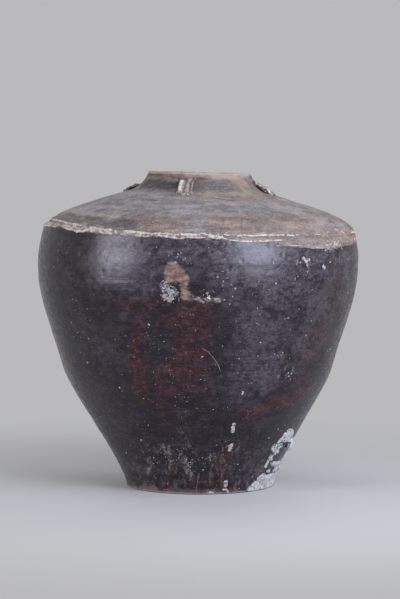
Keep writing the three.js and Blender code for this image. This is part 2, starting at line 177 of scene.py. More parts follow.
# Marks that the photograph shows: strength, radius in millimetres, and a stroke's pixels, x and y
MARKS = {
    "tan": (
        (0.5, 5, 191, 298, 204, 299.5, 219, 300.5), (0.3, 8, 263, 473, 258, 468),
        (0.75, 8, 222, 172, 232, 178, 246, 184), (0.6, 7, 239, 184, 251, 193), (0.3, 14, 290, 218, 330, 228),
        (0.25, 16, 235, 226, 300, 230),
    ),
    "lime": (
        (0.5, 17, 167, 288, 171, 297), (0.35, 9, 283, 437, 275, 449, 270, 463, 268, 480, 254, 487),
        (0.3, 10, 304, 258, 311, 264), (0.46, 12, 326, 249, 341, 240), (0.3, 9, 328, 232, 343, 234),
        (0.3, 6, 288, 376, 292, 374),
    ),
    # Pale clay and streaks, and painted light where the lip and the shoulder grow lighter towards their lit
    # right
    "pale": (
        (0.3, 8, 165, 174, 196, 174), (0.55, 8, 188, 174, 220, 174.5), (0.75, 8, 214, 174, 248, 175.5),
        (0.5, 7, 170, 262, 178, 264), (0.3, 4, 150, 205, 200, 204), (0.5, 2.5, 168, 215, 174, 215.5),
        (0.35, 12, 262, 226, 335, 227), (0.3, 16, 150, 200, 200, 198, 250, 202),
        (0.5, 18, 272, 206, 318, 218), (0.5, 6, 240, 174, 246, 182), (0.55, 3, 241, 186, 252, 194),
        (0.3, 3, 250, 215, 262, 214), (0.9, 10, 128, 484, 140, 487, 164, 490), (0.5, 7, 236, 489, 250, 489),
    ),
    "film": (
        (0.75, 9, 164, 447, 169, 454, 171, 463), (0.75, 9, 182, 455, 186, 464, 189, 474),
        (0.35, 24, 150, 448, 176, 462), (0.35, 26, 196, 462, 224, 460), (0.75, 6, 150, 460, 148, 474),
        (0.6, 5, 168, 464, 169, 473), (0.45, 6, 141, 443, 153, 446), (0.5, 6, 179, 430, 189, 446),
        (0.4, 12, 140, 478, 156, 486), (0.35, 16, 205, 440, 240, 448), (0.6, 5, 239, 437, 237, 452),
        (0.5, 5, 226, 446, 219, 454), (0.55, 5, 212, 456, 211, 470), (0.5, 5, 221, 462, 220, 472),
        (0.4, 12, 300, 262, 345, 256), (0.45, 12, 264, 468, 250, 484), (0.4, 14, 265, 366, 292, 372),
        (0.35, 14, 170, 252, 184, 258), (0.3, 16, 60, 245, 56, 290),
    ),
    # Lighter purple-grey glaze: partly its own lighter tone, partly a painted sheen under the seam and round
    # the two highlights, and painted light over the lit right of the wall
    "haze_and_painted_sheen": (
        (1.5, 24, 110, 243, 146, 246, 185, 248, 216, 248), (1.2, 30, 262, 252, 300, 260, 345, 266),
        (0.8, 26, 300, 290, 345, 290), (0.9, 28, 225, 275, 285, 285), (0.8, 18, 150, 255, 148, 288),
        (0.9, 56, 262, 318, 266, 345, 255, 372), (0.8, 44, 315, 285, 322, 320, 306, 350),
        (0.6, 34, 232, 290, 250, 300), (0.5, 34, 100, 330, 112, 372), (0.6, 34, 130, 275, 190, 262),
        (0.55, 24, 262, 448, 250, 470), (0.4, 20, 215, 385, 225, 400), (0.5, 20, 140, 470, 165, 480),
    ),
    "iron": (
        (0.85, 17, 139, 328, 138, 360, 142, 398), (0.75, 34, 176, 316, 196, 330, 186, 362, 174, 384),
        (0.75, 14, 182, 313, 206, 314), (0.6, 22, 152, 402, 172, 424), (0.5, 24, 199, 372, 202, 404),
        (1.15, 18, 246, 416, 270, 407, 292, 400), (0.9, 18, 288, 400, 314, 388),
        (1.1, 17, 228, 448, 216, 480), (0.75, 10, 174, 466, 168, 484), (0.8, 9, 210, 484, 236, 489),
        (0.6, 14, 186, 470, 196, 486), (0.55, 10, 104, 293), (0.5, 20, 112, 300, 160, 310),
        (0.5, 30, 320, 330, 300, 380), (0.45, 24, 335, 275, 330, 320),
    ),
    # Dark marks: soot and dark streaks, and painted shade down the left of the wall, under the left of the
    # shoulder and on the left of the neck, with painted shadows beside the front lug and in the hollow under
    # the lime knob
    "soot": (
        (0.55, 9, 205, 438, 199, 462, 196, 486), (0.45, 12, 170, 398, 172, 440),
        (0.6, 3.5, 212, 197, 234, 200), (0.5, 12, 154, 187, 170, 189), (0.75, 14, 146, 182, 174, 186),
        (0.6, 16, 58, 214, 84, 219, 130, 223), (0.4, 14, 90, 208, 130, 212), (1, 3.2, 284.6, 445.8),
        (0.4, 7, 130, 196, 160, 200), (0.75, 40, 50, 258, 56, 300, 70, 350), (0.7, 36, 82, 390, 104, 430),
        (0.45, 14, 150, 420, 160, 440), (0.45, 22, 112, 440, 128, 458), (0.9, 2.2, 243, 253),
        (0.5, 14, 222, 395, 226, 425), (0.4, 30, 100, 300, 112, 350, 122, 400),
        (0.4, 24, 218, 305, 224, 350),
    ),
}
# Marks on the side it hides: the same, at degrees and heights
MARKS_BEHIND = {
    "pale": (
        (0.6, 9, 6, 505, 60, 505, 120, 504),
    ),
    "film": (
        (0.4, 30, 100, 60, 150, 50, 190, 70),
    ),
    "haze_and_painted_sheen": (
        (0.5, 40, -150, 330, -175, 250, 170, 330), (0.5, 60, 30, 300, 70, 260),
        (0.6, 50, 130, 330, 150, 260, 170, 200),
    ),
    "iron": (
        (0.5, 30, -150, 250, -165, 120), (0.6, 34, 40, 210, 60, 130), (0.6, 26, 95, 320, 110, 260, 105, 180),
        (0.5, 30, 150, 180, 140, 90),
    ),
    "soot": (
        (0.45, 34, 200, 250, 190, 120), (0.4, 30, 70, 330, 80, 250),
    ),
}
# Marks with an outline of their own: kind, strength, softness of the edge, and corners in the photograph
MARK_SHAPES = (
    ("tan", 0.9, 5, 166, 263.5, 169, 261.8, 176, 262, 180, 265, 183, 270, 187, 274.5, 189.5, 279, 188, 283,
     187, 288, 188.5, 291, 192, 294, 191.5, 299, 186, 301.5, 180.5, 300, 180, 283.5, 174, 284, 165, 284, 164,
     276), ("soot", 1, 2.5, 175.5, 283, 180, 282, 180, 300, 177, 304, 171, 303, 174, 292),
    ("soot", 0.8, 2.5, 161, 284, 170, 282, 176, 284, 176, 300, 166, 302, 160.5, 294),
    # Painted shadow beside the front lug's left rib
    ("soot", 0.95, 2.5, 175.8, 181.5, 179, 180.5, 179.4, 190.5, 176.6, 191),
)

# The plates of the crust at the foot: how strong each is, and its corners in the photograph
CRUST = (
    (1, 289.5, 429, 294, 430, 293.4, 433.5, 291.4, 438.5, 290.8, 441.5, 285, 442.3, 277.6, 443.4, 281, 438.3,
     285, 433.6), (0.62, 277.5, 442.8, 283.8, 443.6, 282.6, 447.5, 279.5, 448.5, 277.8, 446.4),
    (1, 272.3, 447, 275, 444.4, 279.2, 445, 280, 449.5, 278.6, 453.4, 275, 455.2, 272.2, 453.6, 271, 450),
    (0.9, 270.3, 454.6, 273.6, 455, 272.9, 460.6, 270.6, 462.6, 268.9, 458.4),
    (0.9, 267.7, 460.6, 270.2, 461.3, 268.7, 465.4, 265.7, 468.4, 264.6, 467),
    (0.95, 270.8, 463.6, 273, 461.8, 278.6, 461.8, 277.8, 466.7, 275.8, 469.2, 273, 467),
    (0.9, 275.4, 468, 277.6, 466, 276.2, 474, 275.6, 480, 273.8, 488, 271.4, 487.4, 272.3, 478, 273.2, 470),
    (0.85, 267.2, 471.2, 270.7, 469, 270.2, 472.4, 267.7, 473.2),
    (1, 263.5, 473.8, 267, 475.4, 272.5, 473.2, 275, 478, 273.6, 487.5, 268, 491, 258, 493.4, 248, 493.6,
     248.6, 488.4, 252.6, 484.3, 256.8, 479.2, 260.3, 476.6),
)
# The plates on the side the photograph hides: strength, and corners as degrees and heights
CRUST_BEHIND = (
    (1, -11, 80, -5, 82, -1, 79, 1.5, 75, -2, 70, -5, 66, -8, 70, -10, 75),
    (0.75, 1, 60, 4, 63, 6, 57, 3, 53),
    (1, -9, 43, -3, 42, 1, 46, 5, 47, 9, 37, 14, 29, 17, 16, 22, 8, 19, 0.5, -15, 0.5, -13, 18, -11, 34),
    (0.8, 16, 40, 19, 43, 20, 35, 17, 33),
)

# The white scar: its corners in the photograph, and two places between which its pits get fewer
SCAR = (
    161, 284, 165, 281.4, 171, 282, 177, 283.5, 181.4, 283.5, 181, 290, 180.5, 298, 177, 303.5, 170, 302.5,
    164, 302, 160.5, 296, 159.6, 290,
)
SCAR_TURN = ((170, 290), (176, 290))

# Raised spots of lime: rise, radius, tint, and the pixels each passes
SPOTS = (
    (1.1, 3.2, 0.1, 233.6, 425, 233, 432), (1.1, 3.4, 0.25, 231.5, 445, 229.5, 450.5),
    (1, 3, 0.1, 225.7, 482, 226, 486), (0.8, 1.7, 0.2, 223.5, 490, 226.5, 489.5, 228, 492),
    (0.7, 1.6, 0.1, 208, 493, 213, 492.5), (0.5, 2.7, 0.25, 304.4, 258.4, 305.4, 259.2),
    (0.5, 3, 0.2, 307, 261.4), (0.45, 2.2, 0.3, 309.8, 259), (0.45, 2.3, 0.3, 308.4, 264.8),
    (0.45, 1.5, 0.4, 301, 262.6), (0.7, 2.6, 0.1, 324.2, 266, 325.6, 267.8), (0.5, 1.3, 0.2, 331, 262),
    (0.6, 1.4, 0.5, 193, 296.5), (0.45, 1.9, 0.85, 195.8, 299.4), (0.5, 2, 0.75, 198.6, 298.2),
    (0.5, 2.2, 0.8, 200.6, 301), (0.55, 1.8, 0.7, 203.6, 302.4), (0.5, 1.7, 0.7, 205, 298.8),
    (1, 1.5, 0, 207.8, 297.8, 209.6, 299), (0.6, 2.8, 0.5, 215.6, 299.4, 217.4, 300),
    (0.5, 1.6, 0.35, 219.6, 301.6), (0.45, 1.9, 0.6, 207.4, 293.4), (0.6, 1.2, 0.2, 224, 300),
    (0.7, 1.3, 0.2, 229.7, 304), (0.7, 1.1, 0, 235.6, 288.8), (0.5, 1.3, 0.2, 185.2, 258.4),
    (0.4, 1, 0.4, 168, 255.6), (0.4, 0.9, 0.4, 169.8, 254.4), (0.4, 0.9, 0.3, 172, 254.2),
    (0.4, 1, 0.3, 176.8, 256.6), (0.4, 1, 0.2, 178, 254), (0.5, 1.1, 0.2, 180.7, 252.5),
    (0.8, 1.4, 0.1, 243.2, 392.5, 242.4, 394.4), (0.6, 1.5, 0.3, 289, 376.8), (0.5, 1.3, 0.3, 291.8, 374),
    (0.5, 1.1, 0.3, 283, 353), (0.4, 1, 0.4, 281.8, 355.4), (0.5, 0.9, 0.2, 148, 324, 149.5, 325.5),
    (0.6, 0.9, 0.1, 268.7, 438.5, 269.8, 438.5), (0.4, 0.9, 0.7, 321, 246, 327, 242.6, 333, 239.4),
    (0.5, 1.1, 0.7, 328, 232, 334, 230, 341, 231.4, 345, 235), (0.4, 1.2, 0.5, 325.6, 250.4, 330, 247.6),
    (0.4, 1, 0.4, 333.6, 241.4, 337.4, 245.6), (0.45, 1.3, 0.6, 339.4, 238, 343, 242),
    (0.4, 1.4, 0.4, 328.6, 240.6), (0.4, 1.3, 0.5, 335, 248.4),
    (0.35, 0.7, 0.7, 300, 247, 310, 247.6, 320, 248.4),
    (0.1, 0.4, 0.75, 203, 348.8, 209, 353, 215.3, 360.4, 219, 366.5, 220.5, 371),
    (0.12, 0.4, 0.95, 199, 474, 197.5, 481, 195.8, 493),
)
# Spots on the side the photograph hides: the same, at degrees and heights
SPOTS_BEHIND = (
    (0.8, 2.4, 0.2, 72, 128, 71, 104), (0.7, 2, 0.2, 141, 64, 140, 50), (0.6, 2.2, 0.3, 104, 296, 105, 290),
    (0.5, 1.4, 0.4, 109, 288), (0.5, 1.8, 0.5, 166, 338, 168, 328),
    (0.1, 0.4, 0.75, 120, 240, 127, 230, 132, 212),
)

# The knob of lime: azimuth, heights of its path with their distances off the wall, radius, taper,
# how much wider it is than deep, roughness, and the rings and sides of its mesh
KNOB_AZIMUTH = math.radians(-6.5)
KNOB_PATH = ((76, -ROOT_DEPTH), (79, 0.4), (70.5, 3.6), (63.5, 4.0))
KNOB_RADIUS = 5.4
KNOB_TAPER = 0.9
KNOB_SPREAD = 1.25
KNOB_ROUGHNESS = 3.4
KNOB_RINGS = 45
KNOB_SIDES = 32

GRAINS = 900
GRAIN_SEED = 7
GRAIN_HEIGHTS = (6, 412)
# Middle of the natural logarithm of a grain's size in millimetres, and its spread
GRAIN_SIZE = (math.log(0.5), 0.4)
# Clusters of grains: pixel, spread in millimetres, count
CLUSTERS = (
    (215, 345, 26, 14), (245, 320, 30, 16), (205, 385, 22, 12), (176, 378, 16, 10), (262, 300, 30, 16),
    (230, 410, 20, 10), (178, 455, 18, 14), (215, 465, 16, 16), (152, 340, 22, 10), (165, 400, 18, 8),
    (285, 295, 24, 14), (215, 300, 14, 10), (300, 330, 26, 8), (62, 262, 18, 12), (206, 297, 9, 10),
    (283, 281.5, 4, 7), (296, 276.8, 4, 8), (306, 273, 4, 7), (222, 278, 6, 9), (290, 376, 5, 8),
    (275, 355, 9, 7), (336, 242, 10, 24), (186, 466, 9, 14), (166, 456, 9, 10), (308, 262, 8, 8),
    (170, 296, 10, 12),
)


# Repeatable noise

def lattice(cells, seed):
    """A repeatable number from 0 to 1 for each whole-number cell."""
    keys = cells[..., 0] * 73856093 ^ cells[..., 1] * 19349663 ^ cells[..., 2] * 83492791
    keys = (keys ^ seed * 2654435761) & 0xFFFFFFFF
    keys = ((keys ^ keys >> 15) * 2246822519) & 0xFFFFFFFF
    keys = ((keys ^ keys >> 13) * 3266489917) & 0xFFFFFFFF
    return (keys ^ keys >> 16) / 2.0**32


def lumps(points, size, seed, octaves=1):
    """Smooth noise from 0 to 1 at points, with lumps about as large as size (one number or three)."""
    total = 0.0
    for octave in range(octaves):
        scaled = points / (np.asarray(size) * 0.5**octave) + 17.3 * (octave + 1)
        cell = np.floor(scaled).astype(np.int64)
        share = scaled - cell
        share = share * share * (3 - 2 * share)
        value = 0.0
        for corner in np.ndindex(2, 2, 2):
            weight = np.prod(np.where(np.array(corner) == 1, share, 1 - share), axis=-1)
            value = value + weight * lattice(cell + np.array(corner), seed * 31 + octave)
        total = total + value * 0.5**octave
    return total / (2 - 0.5 ** (octaves - 1))


def waves(points, size, seed, octaves=1, swing=1.0):
    """The same noise, swinging about zero."""
    return (lumps(points, size, seed, octaves) - 0.5) * swing


def shaken(points, size, seed, octaves=1):
    """Noise that moves points in all three directions."""
    return np.stack([waves(points, size, seed + k, octaves) for k in range(3)], axis=-1)


def smooth(value, low, high):
    """0 below low, 1 above high, smooth between."""
    share = np.clip((value - low) / (high - low), 0, 1)
    return share * share * (3 - 2 * share)


def bell(value, half):
    return np.exp(-((value / half) ** 2))


def squared(value, power):
    """A value from -1 to 1 drawn out to its ends, which squares a round section."""
    return np.sign(value) * np.abs(value) ** power


# Lines in a plane

def curve(corners, t):
    """Points of the cubic curve with four corners."""
    t = t[:, None]
    return np.hstack([(1 - t) ** 3, 3 * t * (1 - t) ** 2, 3 * t**2 * (1 - t), t**3]) @ np.array(corners)


def normals(line):
    """Directions square to a line, to its left."""
    along = np.gradient(line, axis=0)
    along /= np.linalg.norm(along, axis=1)[:, None]
    return np.stack([-along[:, 1], along[:, 0]], axis=1)


def distances(line):
    """Distance along a line from its start to each point."""
    return np.concatenate([[0], np.cumsum(np.linalg.norm(np.diff(line, axis=0), axis=1))])


# The jar's wall, in millimetres

def outline_points():
    """Radius and height along the outside, close together."""
    points = []
    for (r0, z0, a0), (r1, z1, a1), (low, high) in zip(OUTLINE, OUTLINE[1:], HOLDS):
        chord = math.hypot(r1 - r0, z1 - z0)
        a0, a1 = math.radians(a0), math.radians(a1)
        leave = (r0 + math.sin(a0) * low * chord, z0 + math.cos(a0) * low * chord)
        arrive = (r1 - math.sin(a1) * high * chord, z1 - math.cos(a1) * high * chord)
        t = np.linspace(0, 1, STRETCH_STEPS, endpoint=False)
        points.append(curve([(r0, z0), leave, arrive, (r1, z1)], t))
    points.append(np.array([OUTLINE[-1][:2]]))
    return np.vstack(points)


LINE = outline_points()
LINE_DISTANCE = distances(LINE)
LINE_NORMAL = -normals(LINE)
LINE_THICKNESS = np.interp(LINE[:, 1], (0, BELLY_HEIGHT, JAR_HEIGHT), (FOOT_WALL, BELLY_WALL, LIP_WALL))
LINE_INSIDE = LINE - LINE_NORMAL * LINE_THICKNESS[:, None]


def along_line(values, distance):
    return np.stack([np.interp(distance, LINE_DISTANCE, values[:, k]) for k in (0, 1)], axis=-1)


def distance_at(height, line=LINE):
    """Distance along the outside line at which a face reaches a height."""
    return np.interp(height, line[:, 1], LINE_DISTANCE)


def radius_at(distance):
    return np.interp(distance, LINE_DISTANCE, LINE[:, 0])


def turned(radius, side, height, azimuth):
    """A point off the axis and to the side, turned round to an azimuth."""
    x = radius * np.cos(azimuth) - side * np.sin(azimuth)
    y = radius * np.sin(azimuth) + side * np.cos(azimuth)
    return np.stack(np.broadcast_arrays(x, y, height), axis=-1)


def settled(points):
    """The fired jar is not true: each point moves as the soft clay did."""
    x, y, z = points[..., 0], points[..., 1], points[..., 2]
    drift = -BELLY_DRIFT * np.sin(np.pi * z / JAR_HEIGHT)
    fall = MOUTH_LEAN * smooth(z, LEAN_START, JAR_HEIGHT)
    cos, sin = math.cos(LEAN_AZIMUTH), math.sin(LEAN_AZIMUTH)
    return np.stack([x + drift * cos, y + drift * sin, z - fall * (x * cos + y * sin)], axis=-1)


def on_face(azimuth, distance, line=LINE, off=0.0):
    """Points on a face of the wall, or off it along the normal, before the clay settled."""
    place = along_line(line, distance) + along_line(LINE_NORMAL, distance) * np.asarray(off)[..., None]
    return turned(place[..., 0], 0, place[..., 1], azimuth)


def relief(azimuth, distance):
    """How far the outside lies in from its smooth shape: throwing lines, dents, grain and pits."""
    at = on_face(azimuth, distance)
    wear = sum(lumps(at, *kind) * depth for *kind, depth in OUTER_WEAR)
    return -(wear + smooth(lumps(at, PIT_SIZE, 7), 0.78, 0.92) * PIT_DEPTH)


def on_outside(azimuth, distance, offset=0.0):
    """Points on the worn outside, or off it by an offset."""
    return on_face(azimuth, distance, LINE, relief(azimuth, distance) + offset)


def on_inside(azimuth, distance):
    """Points on the inside, where the potter's fingers left rings."""
    at = on_face(azimuth, distance, LINE_INSIDE)
    wear = sum(lumps(at, *kind) * depth for *kind, depth in INNER_WEAR)
    return on_face(azimuth, distance, LINE_INSIDE, -wear)


def seam_distance(azimuth):
    """Distance up the wall of the shoulder joint, which runs out of level."""
    radius = (EDGE_RADIUS + BELLY_RADIUS) / 2
    fall = math.tan(SEAM_TILT) * np.cos(azimuth - SEAM_TILT_AZIMUTH)
    return distance_at(SEAM_HEIGHT - radius * fall)


# Places in the photograph and on the wall

def camera_axes():
    place = Vector((
        CAMERA_DISTANCE * math.cos(CAMERA_AZIMUTH),
        CAMERA_DISTANCE * math.sin(CAMERA_AZIMUTH),
        CAMERA_HEIGHT,
    ))
    forward = (Vector((0, 0, AIM_HEIGHT)) - place).normalized()
    right = forward.cross(Vector((0, 0, 1))).normalized()
    return place, forward, right, right.cross(forward)


def photo_table():
    """The half of the wall that the photograph shows, as azimuths, distances and pixels."""
    azimuth = CAMERA_AZIMUTH + np.radians(np.linspace(-92, 92, 737))
    azimuth, distance = np.meshgrid(azimuth, np.linspace(0, LINE_DISTANCE[-1], 620))
    azimuth, distance = azimuth.ravel(), distance.ravel()
    place, forward, right, up = [np.array(v) for v in camera_axes()]
    rays = settled(on_face(azimuth, distance)) * MM - place
    depth = rays @ forward
    x = PHOTO_SIZE[0] / 2 + PHOTO_LENS * (rays @ right) / depth
    y = PHOTO_SIZE[1] / 2 - PHOTO_LENS * (rays @ up) / depth
    return azimuth, distance, x, y


TABLE = photo_table()


def places_in(numbers, wall=False):
    """Azimuth and distance of the wall under each pixel of a row, or at its degrees and heights."""
    pairs = zip(numbers[::2], numbers[1::2])
    if wall:
        return [(math.radians(degrees), float(distance_at(height))) for degrees, height in pairs]
    azimuth, distance, px, py = TABLE
    nearest = [np.argmin((px - x) ** 2 + (py - y) ** 2) for x, y in pairs]
    return [(azimuth[k], distance[k]) for k in nearest]


def seen_and_hidden(seen, hidden):
    """The rows of both tables of one kind, each with whether it is in degrees and heights."""
    return [(row, False) for row in seen] + [(row, True) for row in hidden]


def around(azimuth):
    """An angle brought to the range from -pi to pi."""
    return (azimuth + math.pi) % (2 * math.pi) - math.pi


def round_table(azimuth, table):
    """A value given at azimuths in degrees, between them and round the jar."""
    degrees, values = np.array(table, float).T
    return np.interp(np.degrees(around(azimuth)), degrees, values, period=360)


def stroke_share(azimuth, distance, places, radius, edge_noise):
    """How much a brush stroke along wall places covers each point, from 0 to 1."""
    best = np.full(azimuth.shape, 1e9)
    r = radius_at(distance)
    ends = list(zip(places, places[1:])) or [(places[0], places[0])]
    for (a0, d0), (a1, d1) in ends:
        across = around(azimuth - a0) * r
        up = distance - d0
        run, rise = around(np.array(a1 - a0)) * r, d1 - d0
        share = np.clip((across * run + up * rise) / (run**2 + rise**2 + 1e-9), 0, 1)
        best = np.minimum(best, np.hypot(across - share * run, up - share * rise))
    return 1 - smooth(best / radius + edge_noise, 0.35, 1.4)


def inside_share(azimuth, distance, corners, soft, edge_noise):
    """How far inside a shape on the wall each point lies, from 0 outside its edge to 1 just within."""
    corner_azimuth, ys = np.array(corners).T
    r = radius_at(ys.mean())
    x, y = around(azimuth - corner_azimuth[0]) * r, distance
    xs = around(corner_azimuth - corner_azimuth[0]) * r
    inside = np.zeros(azimuth.shape, bool)
    gap = np.full(azimuth.shape, 1e9)
    for x0, y0, x1, y1 in zip(xs, ys, np.roll(xs, -1), np.roll(ys, -1)):
        run, rise = x1 - x0, y1 - y0
        inside ^= ((y0 > y) != (y1 > y)) & (x < run * (y - y0) / (rise + 1e-9) + x0)
        share = np.clip(((x - x0) * run + (y - y0) * rise) / (run**2 + rise**2), 0, 1)
        gap = np.minimum(gap, np.hypot(x - x0 - share * run, y - y0 - share * rise))
    return smooth(np.where(inside, gap, -gap) + edge_noise, -soft, soft)


def paint(cover, strength, azimuth, distance, places, reach, share_of, width, noise):
    """Lays a mark over a cover, which is worked out only within its reach up and down."""
    up = [d for _, d in places]
    near = (distance > min(up) - reach) & (distance < max(up) + reach)
    if near.any():
        share = share_of(azimuth[near], distance[near], places, width, noise[near])
        cover[near] = np.maximum(cover[near], strength * share)


# Meshes

def new_object(name, data):
    added = bpy.data.objects.new(name, data)
    bpy.context.scene.collection.objects.link(added)
    return added


def new_piece(name, points, faces, material, sharp=None):
    """A smooth-shaded mesh from millimetre points; edges above the angle sharp stay crisp."""
    mesh = bpy.data.meshes.new(name)
    mesh.from_pydata((points * MM).tolist(), [], faces)
    mesh.polygons.foreach_set("use_smooth", [True] * len(mesh.polygons))
    if sharp:
        mesh.set_sharp_from_angle(angle=math.radians(sharp))
    mesh.materials.append(material)
    piece = new_object(name, mesh)
    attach(piece, "root")
    return piece


def set_mask(piece, name, values):
    attribute = piece.data.attributes.new(name, "FLOAT", "POINT")
    attribute.data.foreach_set("value", np.asarray(values, np.float32).ravel())


def ring_faces(columns, around_count):
    """Quads of a closed ring of closed loops, facing out."""
    i, j = np.meshgrid(np.arange(columns), np.arange(around_count), indexing="ij")
    next_i, next_j = (i + 1) % columns, (j + 1) % around_count
    corners = [(i, j), (next_i, j), (next_i, next_j), (i, next_j)]
    return np.stack([(a * around_count + b).ravel() for a, b in corners], axis=1)


def unwrap_ring(piece, loops, bands=2, margin=0.004):
    """A map of a ring, cut into bands that lie one above the other."""
    columns, count = loops.shape[:2]
    step = np.linalg.norm(np.roll(loops, -1, axis=1) - loops, axis=2).mean(axis=0)
    up = np.concatenate([[0], np.cumsum(step)]) / step.sum()
    band, i = np.divmod(np.arange(columns)[:, None, None], columns // bands)
    j = np.arange(count)[:, None] + (0, 0, 1, 1)
    u = (i + (0, 1, 1, 0)) / (columns // bands)
    v = (band + margin + up[j] * (1 - 2 * margin)) / bands
    layer = piece.data.uv_layers.new(name="OFBake")
    layer.uv.foreach_set("vector", np.stack(np.broadcast_arrays(u, v), -1).astype(np.float32).ravel())


def wall_masks(azimuth, distance):
    """Every kind of mark on the outside of the wall, at each point."""
    at = on_face(azimuth, distance)
    height = at[..., 2]
    above_seam = distance - seam_distance(azimuth)
    ragged = waves(at, (26, 26, 10), 21, 3)
    masks = {}
    for seed, kind in enumerate(MARKS, 40):
        cover, noise = np.zeros(azimuth.shape), waves(at, 14, seed, 3, 1.2)
        for (strength, radius, *numbers), wall in seen_and_hidden(MARKS[kind], MARKS_BEHIND.get(kind, ())):
            places = places_in(numbers, wall)
            paint(cover, strength, azimuth, distance, places, radius * 2.2, stroke_share, radius, noise)
        masks[kind] = cover
    edge = waves(at, 6, 22, 3, 6)
    for kind, strength, soft, *numbers in MARK_SHAPES:
        paint(masks[kind], strength, azimuth, distance, places_in(numbers), 8, inside_share, soft, edge)
    masks["worn"] = smooth(above_seam + round_table(azimuth, WORN_EDGE) + ragged * 5, -2, 3)
    warm = 0.75 * bell(above_seam - 22, 26) + 0.6 * smooth(np.cos(azimuth - WARM_AZIMUTH), 0.45, 1.0)
    warm = warm + waves(at, (70, 70, 16), 24, 3, 1.3)
    masks["warm"] = np.maximum(np.clip(warm, 0, 1), 0.8 * smooth(height, *NECK_WARM))
    foot = 1 - smooth(height + ragged * 26, *FOOT_BARE)
    lip = smooth(height + ragged * 14, *LIP_BARE)
    lip_line = smooth(height + ragged * 1.5, LIP_TURN - 1.2, LIP_TURN - 0.4)
    masks["rim"] = np.maximum(lip_line, (1 - smooth(height + ragged * 3, 1.0, 2.6)) * 0.8)
    masks["bare"] = np.maximum(foot, lip)
    unshaded = smooth(np.cos(azimuth - UNSHADED_AZIMUTH), 0.3, 0.75)
    # A painted shadow just under the seam ridge, fading out towards the right
    shadow = bell(above_seam + 11 + ragged * 6, 4.5) * (1 - 0.9 * unshaded)
    masks["soot"] = np.maximum(masks["soot"], 0.8 * shadow)
    masks["slip"] = 0.6 * bell(above_seam + 1 + ragged * 6, 6.0)
    return masks


def joint(outer, inner=None):
    """Distances at which a joint meets the outside and the inside, bevelled where inner isn't given."""
    inner = outer + JOINT_BEVEL if inner is None else inner
    return [np.broadcast_to(edge, SIDES)[:, None] for edge in (outer, inner)]


def wall_piece(name, below, above, rows, inner_rows, material, lip=False):
    """One thrown section of the wall between two joints, or the neck with its lip."""
    outer = below[0] + (above[0] - below[0]) * np.linspace(0, 1, rows + 1)
    inner = below[1] + (above[1] - below[1]) * np.linspace(1, 0, inner_rows + 1)
    turns = np.broadcast_to(TURNS[:, None], outer.shape)
    outside = on_outside(turns, outer)
    inside = on_inside(np.broadcast_to(TURNS[:, None], inner.shape), inner)
    top = lip_top(outside[:, -1], inside[:, 0]) if lip else outside[:, :0]
    loops = settled(np.concatenate([outside, top, inside], axis=1))
    count, start = loops.shape[1], rows + 1 + top.shape[1]
    piece = new_piece(name, loops.reshape(-1, 3), ring_faces(SIDES, count).tolist(), material, CRISP)
    for kind, values in wall_masks(turns, outer).items():
        full = np.zeros((SIDES, count))
        full[:, : rows + 1] = values
        full[:, rows + 1 : start] = values[:, -1:]
        set_mask(piece, kind, full)
    within = np.zeros((SIDES, count))
    within[:, start:] = smooth(JAR_HEIGHT - inside[:, :, 2], 6, 16) if lip else 1
    set_mask(piece, "within", within)
    unwrap_ring(piece, loops)
    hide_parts(name)


def lip_top(outer_end, inner_end, steps=13):
    """The rounded, worn top of the lip, from the last outside point over to the first inside one."""
    turn = np.linspace(0, np.pi, steps + 2)[1:-1]
    r_out, r_in = [np.hypot(end[:, 0], end[:, 1])[:, None] for end in (outer_end, inner_end)]
    height = (outer_end[:, 2] * 0.5 + inner_end[:, 2] * 0.5)[:, None]
    cos = squared(np.cos(turn), 0.6)
    sin = np.sin(turn) ** 0.8
    radius = (r_out + r_in) / 2 + (r_out - r_in) / 2 * cos
    z = height + (LIP_ROUNDING - 0.1) * sin
    at = turned(radius, 0, z, TURNS[:, None])
    wear = lumps(at, (14, 14, 14), 12, 2) * 0.7 + smooth(lumps(at, 9, 13), 0.7, 0.9) * 0.6
    return turned(radius, 0, z - wear * sin, TURNS[:, None])


def base_piece(material, side_rows=7):
    """The disc under the wall, its edge in line with the outside."""
    azimuth = TURNS[:, None]
    radii = np.array([0.06, 0.2, 0.35, 0.5, 0.65, 0.8, 0.9, 0.96])
    rows = np.linspace(distance_at(FOOT_ROUNDING), distance_at(FLOOR_THICKNESS), side_rows)
    turns, rows = np.broadcast_arrays(azimuth, rows)
    side = on_outside(turns, rows)
    edge_radius = np.hypot(side[:, 0, 0], side[:, 0, 1])[:, None]
    corner = np.radians([-90, -60, -30])
    out, up = edge_radius - FOOT_ROUNDING * (1 - np.cos(corner)), FOOT_ROUNDING * (1 + np.sin(corner))
    edge = turned(out, 0, up, azimuth)
    under = turned((edge_radius - FOOT_ROUNDING) * radii, 0, 0.0, azimuth)
    under[..., 2] += lumps(under, (16, 16, 16), 14, 3) * 0.5 * np.sin(np.pi * radii)
    over = turned(edge_radius * radii[::-1] * 0.98, 0, FLOOR_THICKNESS, azimuth)
    loops = np.concatenate([under, edge, side, over], axis=1)
    count = loops.shape[1]
    faces = [f for f in ring_faces(SIDES, count).tolist() if abs(f[0] % count - f[3] % count) == 1]
    bottom, top = SIDES * count, SIDES * count + 1
    for i in range(SIDES):
        j = (i + 1) % SIDES
        faces += [[bottom, j * count, i * count], [top, i * count + count - 1, j * count + count - 1]]
    points = settled(np.concatenate([loops.reshape(-1, 3), [[0, 0, 0], [0, 0, FLOOR_THICKNESS]]]))
    piece = new_piece("base_slab", points, faces, material, CRISP)
    start = len(radii) + len(corner)
    for kind, values in wall_masks(turns, rows).items():
        full = np.full((SIDES, count), 1.0 if kind == "bare" else 0.0)
        full[:, start : start + side_rows] = values
        set_mask(piece, kind, np.append(full.ravel(), [full[0, 0], full[0, -1]]))
    within = np.zeros((SIDES, count))
    within[:, -len(radii) :] = 1
    set_mask(piece, "within", np.append(within.ravel(), [0, 1]))
    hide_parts("base_slab")


